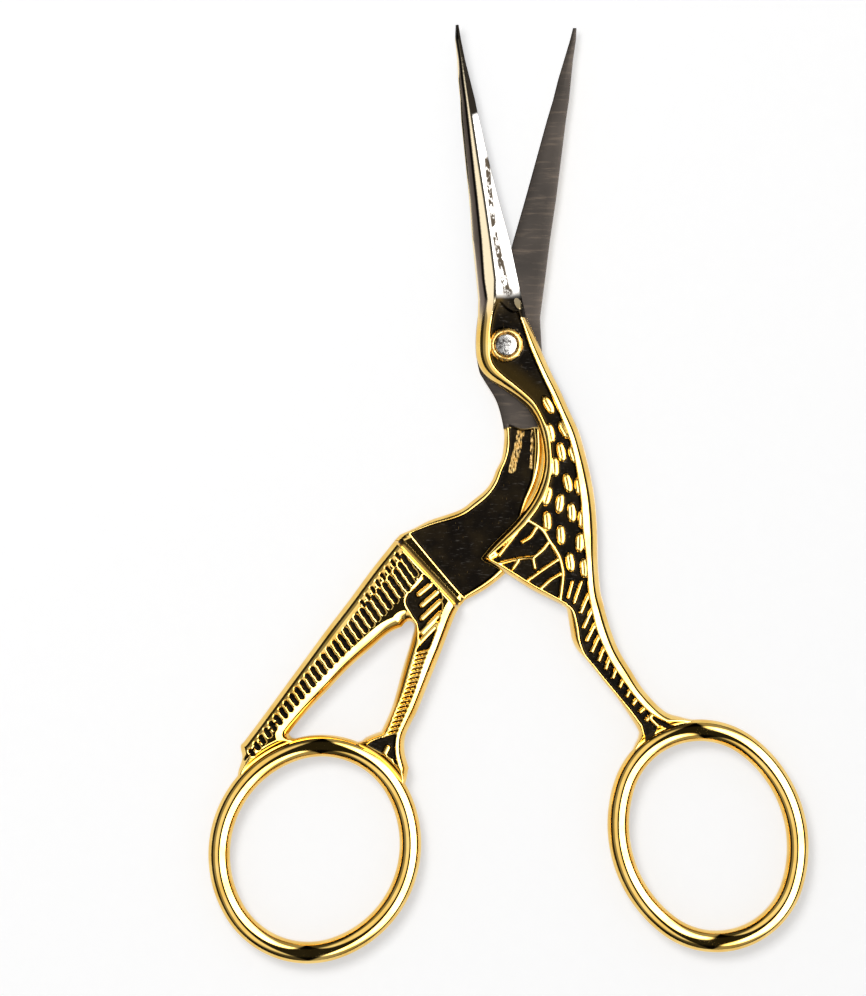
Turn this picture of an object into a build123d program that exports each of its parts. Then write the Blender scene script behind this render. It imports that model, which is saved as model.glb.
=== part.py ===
"""Stork embroidery scissors: two cast and gilded halves that cross at a pivot screw.

The upper half is the stork's neck, folded wing and tail, with one blade of the beak.
The lower half is its breast and legs, with the other blade. Each ends in a finger ring.

The part lies flat on the table, z = 0. The pivot's axis is the Z axis, and the beak
points along +Y. Every outline is drawn with the scissors closed, beak straight up,
and each half is then turned about the pivot to the opening at which it rests.
"""

from build123d import *
import math
import os

# Opening at rest: each half's own turn from the closed position, in degrees
NECK_TURN = 8.6
LEG_TURN = -12.0

FULL_TURN = 360
HALF_TURN = FULL_TURN / 2

# Thickness of the lapped halves and the running gap between them
HALF_THICKNESS = 1.6
JOINT_GAP = 0.04
HANDLE_THICKNESS = 2 * HALF_THICKNESS + JOINT_GAP
NECK_FLOOR = HALF_THICKNESS + JOINT_GAP

# Beak blades
BEAK_LENGTH = 31.8
BEAK_ROOT = 2.4
BEAK_ROOT_WIDTH = 4.5
BEAK_TIP_WIDTH = 0.55
BEAK_TIP_THICKNESS = 0.7
EDGE_LAND = 0.12

# Body: from the pivot down to the lower edge of the wing, and across the wing and tail
BODY_LENGTH = 26.0
BODY_WIDTH = 12.0
STEP_CLEARANCE = 0.35
STEP_RUN = 0.55
STEP_DROP = 1.3

# Finger rings: distance below the pivot, eye sizes, and the wire that bounds them
LEG_REACH = 52.2
NECK_REACH = 50.5
LEG_EYE_WIDTH = 16.4
LEG_EYE_LENGTH = 18.4
NECK_EYE_WIDTH = 15.1
NECK_EYE_LENGTH = 18.8
WIRE_WIDTH = 2.15
WIRE_HEIGHT = 3.0
WIRE_SIDES = 14
RING_TILT = 8.8
RING_LINE = 2.47
RING_GAP = 0.3

# Tail shank and leg frame
SHANK_WIDTH = 3.4
EDGE_ROUND = 0.4
RIM_ROUND = 0.2

# Relief of the outer faces: a rim stands round the neck and wing, and feathers, the
# wing's rib and its quills stand on the field inside it
RELIEF_DEPTH = 0.3
RELIEF_RISE = 0.26
RIM_WIDTH = 1.0
HEM_RIM_WIDTH = 0.55
BREAST_RIM_WIDTH = 0.6
BOSS_RADIUS = 1.8
FEATHER_WIDTH = 0.95
FEATHER_LENGTH = 1.9
FEATHER_ANGLE = 2
QUILL_WIDTH = 0.36
BARB_COUNT = 11
BARB_ANGLE = 57
SLOT_COUNT = 24
SLOT_WIDTH = 0.42
SLOT_ANGLE = -43
RIB_COUNT = 13
RIB_GAP = 0.3
RIB_LENGTH = 1.45
RIB_ANGLE = 8
THIGH_CUT_COUNT = 5
THIGH_CUT_LENGTH = 2.0
THIGH_ANGLE = 52

# Pivot screw: its head is let into the back, its end is riveted over in a dish in front
SCREW_RADIUS = 1.075
SCREW_RUN = 0.03
HEAD_RADIUS = 1.95
HEAD_ANGLE = 90
HEAD_INSET = 0.1
SCREW_SLOT_WIDTH = 0.45
SCREW_SLOT_DEPTH = 0.35
DISH_RADIUS = 1.5
DISH_ANGLE = 120
END_INSET = 0.06
END_CROWN = 0.24

# Overrun of every cutter past the face that it cuts
OVERRUN = 0.5

# Where the spine of each blade lies, as shares of the blade's width at root and tip
NECK_SPINE_SHARES = (0.48, 0.8)
LEG_SPINE_SHARES = (0.58, 0.9)

# Blade section from spine to edge: shares of the width and of the thickness
BLADE_SHARES = [(0, 0), (0, 0.35), (0.2, 1), (0.45, 0.95)]

# Outlines of the body, closed: shares of BODY_WIDTH across and of BODY_LENGTH upwards
NECK_BACK_SHARES = [(0.204, 0.138), (0.277, -0.038), (0.381, -0.198), (0.478, -0.357),
                    (0.526, -0.59), (0.509, -0.74), (0.47, -0.93)]
WING_HEM_SHARES = [(0.171, -1.034), (0.12, -0.996), (-0.089, -0.928), (-0.308, -0.84),
                   (-0.455, -0.785)]
NECK_FRONT_SHARES = [(-0.44, -0.762), (-0.162, -0.671), (0.068, -0.557), (0.161, -0.442),
                     (0.163, -0.335), (0.107, -0.255), (-0.063, -0.167), (-0.172, -0.122),
                     (-0.254, -0.032), (-0.247, 0.017), (-0.21, 0.091), (-0.175, 0.177)]
LEG_BACK_SHARES = [(0.217, 0.138), (0.272, -0.04), (0.345, -0.17), (0.448, -0.357),
                   (0.488, -0.588), (0.43, -0.806)]
LEG_TAIL_SHARES = [(0.33, -0.873), (0.248, -0.92), (0.129, -0.968), (0.06, -1.005)]
LEG_HIP_SHARES = [(-0.25, -1.02)]
LEG_CORNER_SHARES = [(-0.525, -0.783)]
LEG_FRONT_SHARES = [(-0.508, -0.763), (-0.31, -0.705), (0, -0.597), (0.118, -0.509),
                    (0.155, -0.408), (0.137, -0.333), (0.013, -0.211), (-0.117, -0.146),
                    (-0.214, -0.079), (-0.25, 0.0), (-0.165, 0.138)]

# Fork between the legs: shares of BODY_WIDTH and of the way from the body to the ring
LEG_FORK_SHARES = [(-0.283, -0.187), (-0.417, -0.236)]

# Feet, as shares of the leg ring's outer half width and half length from its centre
FRONT_FOOT_SHARES = [(-0.888, 0.761), (-0.879, 0.531)]
BACK_FOOT_SHARES = [(0.752, 0.761), (0.648, 0.917), (0.617, 1.088)]
FRONT_TOE_SHARES = [(-0.472, 0.92)]
BACK_TOE_SHARES = [(0.262, 1.02), (0.346, 1.212)]

# Tail shank: where it leaves the body and meets the ring, and its sides from the one
# to the other, as shares of its length and of SHANK_WIDTH
SHANK_TOP_SHARES = [(0.32, -1.0)]
SHANK_FOOT_SHARES = [(-0.3, 0.9)]
SHANK_LEFT_SHARES = [(0.01, -0.56), (0.11, -0.77), (0.25, -0.88), (0.42, -0.74),
                     (0.66, -0.56), (0.83, -0.42), (1.0, -0.35)]
SHANK_RIGHT_SHARES = [(0.05, 0.46), (0.31, 0.19), (0.46, 0.16), (0.61, 0.2),
                      (0.775, 0.31), (0.87, 0.45), (1.03, 0.72)]

# Radius of a ring's end arcs, as a share of its half width
END_ARC_SHARE = 0.9

# Feathers, the wing's rib and its quills, as shares of BODY_WIDTH and BODY_LENGTH
FEATHER_SHARES = [(0.266, -0.247), (0.248, -0.353), (0.364, -0.35), (0.313, -0.43),
                  (0.411, -0.448), (0.243, -0.482), (0.333, -0.549), (0.433, -0.568),
                  (0.146, -0.588), (0.238, -0.622), (0.328, -0.662), (0.409, -0.692),
                  (0.116, -0.679), (0.209, -0.739), (0.359, -0.778), (0.252, -0.845),
                  (0.366, -0.876)]
WING_RIB_SHARES = [(-0.059, -0.659), (0.058, -0.705), (0.107, -0.755), (0.163, -0.812),
                   (0.178, -0.867), (0.172, -0.9), (0.127, -0.973)]
QUILL_SHARES = [((0.019, -0.699), (-0.112, -0.743)), ((0.107, -0.755), (-0.033, -0.806)),
                ((-0.046, -0.809), (-0.333, -0.81)), ((-0.167, -0.812), (-0.216, -0.835)),
                ((-0.044, -0.817), (-0.042, -0.845)), ((0.149, -0.83), (-0.118, -0.892)),
                ((0.148, -0.883), (-0.015, -0.929)), ((-0.072, -0.675), (-0.219, -0.72)),
                ((-0.219, -0.72), (-0.3, -0.765)), ((0.223, -0.923), (0.167, -0.976)),
                ((0.306, -0.932), (0.217, -0.999))]

# Barbs of the tail: first and last, as shares of the shank's length and SHANK_WIDTH, and
# their lengths as shares of SHANK_WIDTH
BARB_LINE_SHARES = [(0.06, -0.14), (0.8, -0.02)]
BARB_LENGTH_SHARES = (0.8, 0.36)

# Rows across the legs: first and last, as shares of BODY_WIDTH and BODY_LENGTH above and
# of the leg ring's outer half sizes below
SLOT_TOP_SHARES = [(-0.412, -0.911)]
SLOT_FOOT_SHARES = [(-0.748, 0.737)]
SLOT_LENGTH_SHARES = (0.2, 0.09)
THIGH_SHARES = [(-0.185, -1.03), (-0.2, -1.165)]
RIB_TOP_SHARES = [(-0.185, -1.215)]
RIB_FOOT_SHARES = [(0.44, 1.1)]

# How far the legs reach into the ring's wire, as a share of WIRE_WIDTH
FOOT_SEAT_SHARE = 0.35


def scaled(shares, across, along, origin=(0, 0)):
    """Points from shares of two sizes, counted from an origin."""
    return [(origin[0] + x * across, origin[1] + y * along) for x, y in shares]


def body(shares):
    return scaled(shares, BODY_WIDTH, BODY_LENGTH)


def flat(turn, height):
    """A level plane at a height, turned about the pivot."""
    return Plane.XY.rotated((0, 0, turn)).offset(height)


def across(turn, distance):
    """An upright plane across the beak, at a distance from the pivot."""
    base = flat(turn, 0)
    return Plane(base.from_local_coords((0, distance, 0)), x_dir=base.x_dir, z_dir=-base.y_dir)


def inset(points, distance):
    """Points moved to the right of the way they run, square to their neighbours' line."""
    moved = []
    for k, (x, y) in enumerate(points):
        before, after = points[max(k - 1, 0)], points[min(k + 1, len(points) - 1)]
        dx, dy = after[0] - before[0], after[1] - before[1]
        reach = distance / math.hypot(dx, dy)
        moved.append((x + dy * reach, y - dx * reach))
    return moved


def along(first, last, share):
    """The point at a share of the way from one point to another."""
    return tuple(a + share * (b - a) for a, b in zip(first, last))


def cuts(first, last, count, lengths, width, slant):
    """A row of parallel bars between two points; their lengths run from one to another."""
    for k in range(count):
        share = k / (count - 1)
        with Locations(along(first, last, share)):
            Rectangle(along(lengths[:1], lengths[1:], share)[0], width, rotation=slant)


def half_extent(width, length):
    """Half of what a ring's tilted outline measures across."""
    tilt = math.radians(RING_TILT)
    return math.hypot(width / 2 * math.cos(tilt), length / 2 * math.sin(tilt))


# Outer sizes and centres of the rings: closed, they stand side by side
LEG_RING = (LEG_EYE_WIDTH + 2 * WIRE_WIDTH, LEG_EYE_LENGTH + 2 * WIRE_WIDTH)
NECK_RING = (NECK_EYE_WIDTH + 2 * WIRE_WIDTH, NECK_EYE_LENGTH + 2 * WIRE_WIDTH)
LEG_CENTRE = (RING_LINE - RING_GAP / 2 - half_extent(*LEG_RING), -LEG_REACH)
NECK_CENTRE = (RING_LINE + RING_GAP / 2 + half_extent(*NECK_RING), -NECK_REACH)


def blade_section(side, spine_share, width, thickness, inner, outward):
    """Corners of a blade's section. The spine stands on one side, the edge on the other."""
    spine = -side * spine_share * width
    corners = [(spine + side * s * width, inner + outward * t * thickness)
               for s, t in BLADE_SHARES]
    edge = spine + side * width
    return corners + [(edge, inner + outward * EDGE_LAND), (edge, inner)]


def beak(turn, side, spine_shares, inner, outward):
    """A blade with a spine strip and a bevel, lofted from its root to its tip."""
    stations = [
        (BEAK_ROOT, BEAK_ROOT_WIDTH, HALF_THICKNESS, spine_shares[0]),
        (BEAK_LENGTH, BEAK_TIP_WIDTH, BEAK_TIP_THICKNESS, spine_shares[1]),
    ]
    sections = []
    for distance, width, thickness, spine_share in stations:
        corners = blade_section(side, spine_share, width, thickness, inner, outward)
        with BuildSketch(across(turn, distance)) as section:
            Polygon(*corners, align=None)
        sections.append(section.sketch)
    loft(sections, ruled=True)


def oval(half_width, half_length):
    """Centre, radius, start angle and turn of each of the four arcs of an upright oval."""
    end = END_ARC_SHARE * half_width
    rise = half_length - end
    side = (half_width**2 + rise**2 - end**2) / (2 * (half_width - end))
    lean = math.degrees(math.atan2(rise, side - half_width))
    return [
        ((half_width - side, 0), side, -lean, 2 * lean),
        ((0, rise), end, lean, HALF_TURN - 2 * lean),
        ((side - half_width, 0), side, HALF_TURN - lean, 2 * lean),
        ((0, -rise), end, HALF_TURN + lean, HALF_TURN - 2 * lean),
    ]


def wire_section():
    """Corners of the ring's wire, an oval with a flat on each side, below and on top."""
    step = FULL_TURN / WIRE_SIDES
    corners = [math.radians((k + 1 / 2) * step) for k in range(WIRE_SIDES)]
    reach = math.cos(math.radians(step / 2))
    return [(WIRE_WIDTH / 2 * math.cos(a) / reach, WIRE_HEIGHT / 2 * math.sin(a) / reach)
            for a in corners]


def finger_ring(turn, centre, outer, tilt):
    """An oval ring of wire: its section is turned round each arc of its middle line."""
    level = flat(turn, HANDLE_THICKNESS / 2)
    ring = Plane(level.from_local_coords((*centre, 0)), x_dir=level.x_dir, z_dir=level.z_dir)
    for arc_centre, radius, start, sweep_angle in oval(
        (outer[0] - WIRE_WIDTH) / 2, (outer[1] - WIRE_WIDTH) / 2
    ):
        hub = ring.rotated((0, 0, tilt))
        hub.origin = hub.from_local_coords((*arc_centre, 0))
        spoke = hub.rotated((0, 0, start))
        cut = Plane(spoke.origin, x_dir=spoke.x_dir, z_dir=-spoke.y_dir)
        with BuildSketch(cut) as section:
            with Locations((radius, 0)):
                Polygon(*wire_section())
        revolve(section.sketch, axis=Axis(hub.origin, hub.z_dir), revolution_arc=sweep_angle)


def sink_radius(inset):
    """The countersink's mouth for the screw's head let in by an inset."""
    return HEAD_RADIUS + SCREW_RUN + inset * math.tan(math.radians(HEAD_ANGLE / 2))


# Lower half: the two legs, body plate under the wing, their ring, and the back blade
with BuildPart() as leg_half:
    # The legs are as thick as both halves, and reach up to the hem of the closed wing
    hem = [(x, y - STEP_CLEARANCE) for x, y in body(WING_HEM_SHARES)[2:]]
    foot_frame = (LEG_RING[0] / 2, LEG_RING[1] / 2, LEG_CENTRE)
    leg_length = LEG_REACH - LEG_RING[1] / 2 - BODY_LENGTH
    with BuildSketch(flat(LEG_TURN, 0)):
        with BuildLine():
            Polyline(
                *hem,
                *body(LEG_CORNER_SHARES),
                *scaled(FRONT_FOOT_SHARES, *foot_frame),
                LEG_CENTRE,
                *scaled(BACK_FOOT_SHARES, *foot_frame),
                *body(LEG_TAIL_SHARES[-1:]),
                close=True,
            )
        make_face()
        with BuildLine():
            Polyline(
                *scaled(LEG_FORK_SHARES, BODY_WIDTH, leg_length, (0, -BODY_LENGTH)),
                *scaled(FRONT_TOE_SHARES, *foot_frame),
                LEG_CENTRE,
                *scaled(BACK_TOE_SHARES, *foot_frame),
                close=True,
            )
        make_face(mode=Mode.SUBTRACT)
        with Locations(LEG_CENTRE):
            Ellipse(
                LEG_RING[0] / 2 - FOOT_SEAT_SHARE * WIRE_WIDTH,
                LEG_RING[1] / 2 - FOOT_SEAT_SHARE * WIRE_WIDTH,
                rotation=-RING_TILT,
                mode=Mode.SUBTRACT,
            )
    extrude(amount=HANDLE_THICKNESS)

    # A slope runs up to them from the wing's hem, and their other edges are round
    closed_plane = flat(LEG_TURN, 0)
    below = body(LEG_TAIL_SHARES)[-1][1]
    step_face = leg_half.faces().sort_by(Axis.Z)[-1]
    chamfer(
        step_face.edges().filter_by(lambda e: closed_plane.to_local_coords(e.center()).Y > below),
        STEP_RUN,
        STEP_DROP,
        reference=step_face,
    )
    for face in (leg_half.faces().sort_by(Axis.Z)[-1], leg_half.faces().sort_by(Axis.Z)[0]):
        fillet(
            face.edges().filter_by(lambda e: closed_plane.to_local_coords(e.center()).Y < below),
            EDGE_ROUND,
        )

    with BuildSketch(flat(LEG_TURN, 0)):
        with BuildLine():
            back = Spline(*body(LEG_BACK_SHARES + LEG_TAIL_SHARES))
            front = Spline(*body(LEG_FRONT_SHARES))
            Polyline(back @ 1, *body(LEG_HIP_SHARES + LEG_CORNER_SHARES), front @ 0)
            Line(front @ 1, back @ 0)
        make_face()
    extrude(amount=HALF_THICKNESS)

    # The breast's field is sunk between its rims, from below the lap down to the slope
    breast_front = inset(body(LEG_FRONT_SHARES[:5]), BREAST_RIM_WIDTH)
    breast_back = inset(body(LEG_BACK_SHARES[3:] + LEG_TAIL_SHARES[:-1]), BREAST_RIM_WIDTH)
    with BuildSketch(flat(LEG_TURN, HALF_THICKNESS - RELIEF_DEPTH)):
        with BuildLine():
            back = Spline(*breast_back)
            front = Spline(*breast_front)
            Line(back @ 1, front @ 0)
            Line(front @ 1, back @ 0)
        make_face()
    extrude(amount=RELIEF_DEPTH + OVERRUN, mode=Mode.SUBTRACT)

    # Rows of cuts across the legs, as the scales of a stork's legs
    slot_ends = body(SLOT_TOP_SHARES) + scaled(SLOT_FOOT_SHARES, *foot_frame)
    rib_ends = body(RIB_TOP_SHARES) + scaled(RIB_FOOT_SHARES, *foot_frame)
    slot_lengths = [share * BODY_WIDTH for share in SLOT_LENGTH_SHARES]
    with BuildSketch(flat(LEG_TURN, HANDLE_THICKNESS - RELIEF_DEPTH)):
        cuts(*slot_ends, SLOT_COUNT, slot_lengths, SLOT_WIDTH, SLOT_ANGLE)
        cuts(*rib_ends, RIB_COUNT, (RIB_LENGTH, RIB_LENGTH), RIB_GAP, RIB_ANGLE)
        cuts(*body(THIGH_SHARES), THIGH_CUT_COUNT, (THIGH_CUT_LENGTH, THIGH_CUT_LENGTH), RIB_GAP,
             THIGH_ANGLE)
    extrude(amount=RELIEF_DEPTH + OVERRUN, mode=Mode.SUBTRACT)

    finger_ring(LEG_TURN, LEG_CENTRE, LEG_RING, -RING_TILT)
    beak(LEG_TURN, -1, LEG_SPINE_SHARES, HALF_THICKNESS, -1)
    with Locations(-Plane.XY):
        CounterSinkHole(
            SCREW_RADIUS + SCREW_RUN,
            sink_radius(HEAD_INSET),
            depth=HALF_THICKNESS + OVERRUN,
            counter_sink_angle=HEAD_ANGLE,
        )
leg_half.part.label = "leg_half"

# Outline of the neck, wing and tail
with BuildSketch() as neck_outline:
    with BuildLine():
        back = Spline(*body(NECK_BACK_SHARES))
        front = Spline(*body(NECK_FRONT_SHARES))
        Polyline(back @ 1, *body(WING_HEM_SHARES), front @ 0)
        Line(front @ 1, back @ 0)
    make_face()

# Outline of the tail's shank, from the closed body to the ring
with BuildSketch() as shank_outline:
    top = body(SHANK_TOP_SHARES)[0]
    foot = scaled(SHANK_FOOT_SHARES, NECK_RING[0] / 2, NECK_RING[1] / 2, NECK_CENTRE)[0]
    shank_length = math.dist(top, foot)
    shank_frame = Plane((*top, 0), x_dir=(foot[0] - top[0], foot[1] - top[1], 0), z_dir=(0, 0, 1))
    left, right, barb_ends = [
        [shank_frame.from_local_coords((u, v, 0))
         for u, v in scaled(shares, shank_length, SHANK_WIDTH)]
        for shares in (SHANK_LEFT_SHARES, SHANK_RIGHT_SHARES, BARB_LINE_SHARES)
    ]
    tail_left, tail_right, barb_ends = [
        [(p.X, p.Y) for p in side] for side in (left, right, barb_ends)
    ]
    step = [(x, y - STEP_CLEARANCE) for x, y in body(LEG_TAIL_SHARES)[2::-1]]
    with BuildLine():
        Spline(*left)
        Spline(*right)
        Polyline(left[0], *step, body(NECK_BACK_SHARES)[-1], right[0])
        Line(left[-1], right[-1])
    make_face()

# The shank is as thick as both halves, and its upper edges are eased
with BuildPart() as shank:
    with BuildSketch(flat(NECK_TURN, 0)):
        add(shank_outline.sketch)
    extrude(amount=HANDLE_THICKNESS)
    sides = shank.faces().sort_by(Axis.Z)[-1].edges().filter_by(GeomType.BSPLINE)
    fillet(sides, RIM_ROUND)

# Upper half: neck, folded wing and tail, the tail shank, its ring, and the front blade
with BuildPart() as neck_half:
    with BuildSketch(flat(NECK_TURN, NECK_FLOOR)):
        add(neck_outline.sketch)
    extrude(amount=HALF_THICKNESS)
    closed_plane = flat(NECK_TURN, 0)
    rim = neck_half.faces().sort_by(Axis.Z)[-1].edges().filter_by(
        lambda e: closed_plane.to_local_coords(e.center()).Y < BEAK_ROOT
    )
    chamfer(rim, RIM_ROUND)
    add(shank.part)
    finger_ring(NECK_TURN, NECK_CENTRE, NECK_RING, RING_TILT)
    beak(NECK_TURN, 1, NECK_SPINE_SHARES, NECK_FLOOR, 1)

    # The field is sunk inside a rim, with a boss round the screw
    field_plane = flat(NECK_TURN, HANDLE_THICKNESS - RELIEF_DEPTH)
    back_points = inset(body(NECK_BACK_SHARES[:-1]) + tail_right[1:-1], RIM_WIDTH)
    tail_points = inset(tail_left[-2:1:-1], HEM_RIM_WIDTH)
    hem_points = inset(body(WING_HEM_SHARES + NECK_FRONT_SHARES[:1]), HEM_RIM_WIDTH)
    front_points = inset(body(NECK_FRONT_SHARES), RIM_WIDTH)
    with BuildSketch(field_plane):
        with BuildLine():
            back = Spline(*back_points)
            tail = Spline(*tail_points)
            front = Spline(*front_points[1:])
            Line(back @ 1, tail @ 0)
            Polyline(tail @ 1, *hem_points[1:-1], front @ 0)
            Line(front @ 1, back @ 0)
        make_face()
    extrude(amount=RELIEF_DEPTH + OVERRUN, mode=Mode.SUBTRACT)
    with BuildSketch(field_plane):
        Circle(BOSS_RADIUS)
    extrude(amount=RELIEF_DEPTH)

    # Feathers on the back, the wing's rib with its quills, and barbs down the tail
    with BuildSketch(field_plane):
        with Locations(*body(FEATHER_SHARES)):
            Ellipse(FEATHER_WIDTH / 2, FEATHER_LENGTH / 2, rotation=FEATHER_ANGLE)
        with BuildLine():
            Spline(*body(WING_RIB_SHARES))
            for root, tip in QUILL_SHARES:
                Line(*body([root, tip]))
        trace(line_width=QUILL_WIDTH)
        barb_lengths = [share * SHANK_WIDTH for share in BARB_LENGTH_SHARES]
        cuts(*barb_ends, BARB_COUNT, barb_lengths, QUILL_WIDTH, BARB_ANGLE)
    extrude(amount=RELIEF_RISE)

    with Locations(Plane.XY.offset(HANDLE_THICKNESS)):
        CounterSinkHole(
            SCREW_RADIUS,
            DISH_RADIUS,
            depth=HALF_THICKNESS + OVERRUN,
            counter_sink_angle=DISH_ANGLE,
        )
neck_half.part.label = "neck_half"

# Pivot screw: countersunk head with a slot behind, round end riveted over in front
with BuildPart() as pivot_screw:
    neck_of_head = HEAD_INSET + (HEAD_RADIUS - SCREW_RADIUS) / math.tan(
        math.radians(HEAD_ANGLE / 2)
    )
    end = HANDLE_THICKNESS - END_INSET
    crown_radius = (SCREW_RADIUS**2 + END_CROWN**2) / (2 * END_CROWN)
    with BuildSketch(Plane.XZ):
        with BuildLine():
            Polyline(
                (0, end),
                (0, HEAD_INSET),
                (HEAD_RADIUS, HEAD_INSET),
                (SCREW_RADIUS, neck_of_head),
                (SCREW_RADIUS, end - END_CROWN),
            )
            RadiusArc((SCREW_RADIUS, end - END_CROWN), (0, end), -crown_radius)
        make_face()
    revolve(axis=Axis.Z)
    with BuildSketch(Plane.XY.offset(HEAD_INSET)):
        Rectangle(2 * HEAD_RADIUS + OVERRUN, SCREW_SLOT_WIDTH)
    extrude(amount=SCREW_SLOT_DEPTH, mode=Mode.SUBTRACT)
pivot_screw.part.label = "pivot_screw"


os.makedirs("parts", exist_ok=True)
for piece in (neck_half, leg_half, pivot_screw):
    export_step(piece.part, f"parts/{piece.part.label}.step")
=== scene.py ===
"""Looks of the stork embroidery scissors.

Each half is one cast mesh: an outline, a height for every point of its upper face, and a
lower face. The heights carry the rims, feathers, quills, barbs and rows of cuts. The
finger rings are smooth oval wires, and the pivot is a riveted steel screw.
"""

import math

import bmesh
import bpy
import numpy as np
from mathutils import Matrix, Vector
from mathutils.geometry import delaunay_2d_cdt
from mathutils.kdtree import KDTree

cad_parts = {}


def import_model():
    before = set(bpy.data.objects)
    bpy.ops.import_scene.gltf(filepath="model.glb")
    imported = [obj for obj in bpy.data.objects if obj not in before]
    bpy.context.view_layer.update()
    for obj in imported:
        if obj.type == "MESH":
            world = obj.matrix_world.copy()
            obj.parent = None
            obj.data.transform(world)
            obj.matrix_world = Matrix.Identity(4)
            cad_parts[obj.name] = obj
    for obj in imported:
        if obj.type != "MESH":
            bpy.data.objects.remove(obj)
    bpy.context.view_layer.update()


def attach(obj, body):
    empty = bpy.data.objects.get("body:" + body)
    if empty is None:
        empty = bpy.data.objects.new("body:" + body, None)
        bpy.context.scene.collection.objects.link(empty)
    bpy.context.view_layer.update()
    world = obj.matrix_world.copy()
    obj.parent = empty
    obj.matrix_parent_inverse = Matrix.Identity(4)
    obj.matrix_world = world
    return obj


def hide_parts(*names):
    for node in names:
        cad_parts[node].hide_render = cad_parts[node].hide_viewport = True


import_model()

# The photograph: places in it are pixels from its upper left corner
MM = 0.001
MM_PER_PX = 0.098
PIVOT_PX = (506, 345)
IMAGE_PX = (866, 996)

# Heights above the table: the neck half's lower face, both halves' upper face, and the
# leg half's upper face where the neck half laps it
NECK_FLOOR = 1.64
TOP = 3.24
LAP = 1.6
RELIEF = 0.42
RELIEF_SLOPE = 0.2

# Rounded edges: how far they drop, over which width, and the share of that drop which
# follows an ellipse
EDGE_DROP = 1.45
EDGE_WIDTH = 1.27
ROUND_SHARE = 0.88
BACK_ROUND = 0.3
LAP_ROUND = 0.06

# Mesh sizes. Shelves are lines of points along an outline, at these distances from it
GRID = 0.085
BACK_GRID = 0.7
ROW_SHARE = 0.866
OUTLINE_STEP = 0.11
CURVE_STEPS = 12
SHELVES = (0.035, 0.08, 0.14, 0.21)
BACK_SHELVES = (0.05, 0.13, 0.24, 0.4)
SHELF_SLACK = 0.004
SHELF_GAP_SHARE = 0.55
LINE_GAP_SHARE = 0.5
POINTS_AT_ONCE = 400
TINY = 1e-6

# Rings: the wire, then each ring's middle, outer half sizes and tilt in degrees
WIRE_WIDTH = 2.15
WIRE_HEIGHT = 3.0
WIRE_FLANK = (WIRE_HEIGHT - WIRE_WIDTH) / 2
LEG_RING = ((-18.731, -49.385), (10.34, 11.34), -20.8)
NECK_RING = ((19.78, -48.083), (9.69, 11.54), 17.4)
END_ARC_SHARE = 0.9
RING_STEPS = 320
WIRE_SIDES = 48
WIRE_COVER = 0.1
WIRE_CLEAR = 0.05
WIRE_REACH_SHARES = (0.75, 1.6)

# Both blades' section at the tip and near the pivot: height of the crest, of the outer
# side and of the flat land along the cutting edge
TAPER_ROWS = (25, 300)
CREST_HEIGHTS = (0.5, 1.6)
SIDE_HEIGHTS = (0.15, 0.5)
LAND_HEIGHTS = (0.25, 0.14)

# Front blade: its left edge, the two borders of its spine strip and its cutting edge, as
# pixel columns at the rows below
BLADE_ROWS = (25, 40, 60, 80, 100, 120, 160, 200, 240, 280, 300, 318)
BLADE_LEFT = (455.5, 455, 457, 458, 460, 461, 465, 469, 472, 476, 478, 477.5)
STRIP_LEFT = (456.3, 458, 461.3, 463.6, 466.2, 468.6, 473, 477.5, 481.6, 484.4, 487.4, 484.6)
STRIP_RIGHT = (457, 459, 463, 466, 469, 472, 478, 484.3, 490, 495, 494.6, 490.5)
BLADE_EDGE = (458.5, 461, 465, 470, 475, 479, 488.5, 498.5, 509.5, 518, 522, 526.5)
BEVEL_SLOPE = 0.6
SIDE_POWER = 1.25
STRIP_LEAN = 0.16
STRIP_LEAN_SHARE = 0.18
THIN_STRIP = 0.02
STRIP_STEP = 0.2
RUN_OUT_ROWS = (276, 312)
RUN_OUT_RISE = 1.1

# Where the front blade's colours begin and end, in millimetres from one of its lines
SIDE_RISE, SIDE_FALL = (0.12, 0.24), (-0.04, 0.02)
BEVEL_RISE = (0.02, 0.1)
# LEFT_LINE, RIGHT_LINE, TIP_* and EDGE_LINE_* place the painted dark reflections along the strip, on
# the bevel near the tip and at the cutting edge
LEFT_LINE = ((-0.3, -0.2), (-0.02, 0.05))
RIGHT_LINE = ((-0.16, -0.08), (0.1, 0.17))
TIP_RISE = (-0.1, 0)
TIP_ROWS = (112, 118)
TIP_LEAN = 4
EDGE_LINE = (-0.16, -0.06)
EDGE_LINE_ROWS = (120, 150)
EDGE_LINE_SHARE = 0.6
SCUFF_LINE = [(487, 160), (490.5, 200), (495, 235), (500.5, 262), (505, 285), (508, 292)]
SCUFF_ROWS = (160, 230, 290)
SCUFF_WIDTHS = (0.3, 0.3, 0.45)
SCUFF_SHARES = (0.6, 1.5)

# Rows over which the blade's shape and colours give way to the neck's
MERGE_ROWS = (296, 322)
NICKEL_ROWS = (284, 300)
SIDE_ROWS = (300, 335)
PALE_ROWS = (290, 330)
DARK_ROWS = (296, 306)
LAPPED_ROWS = (425, 432)

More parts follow.
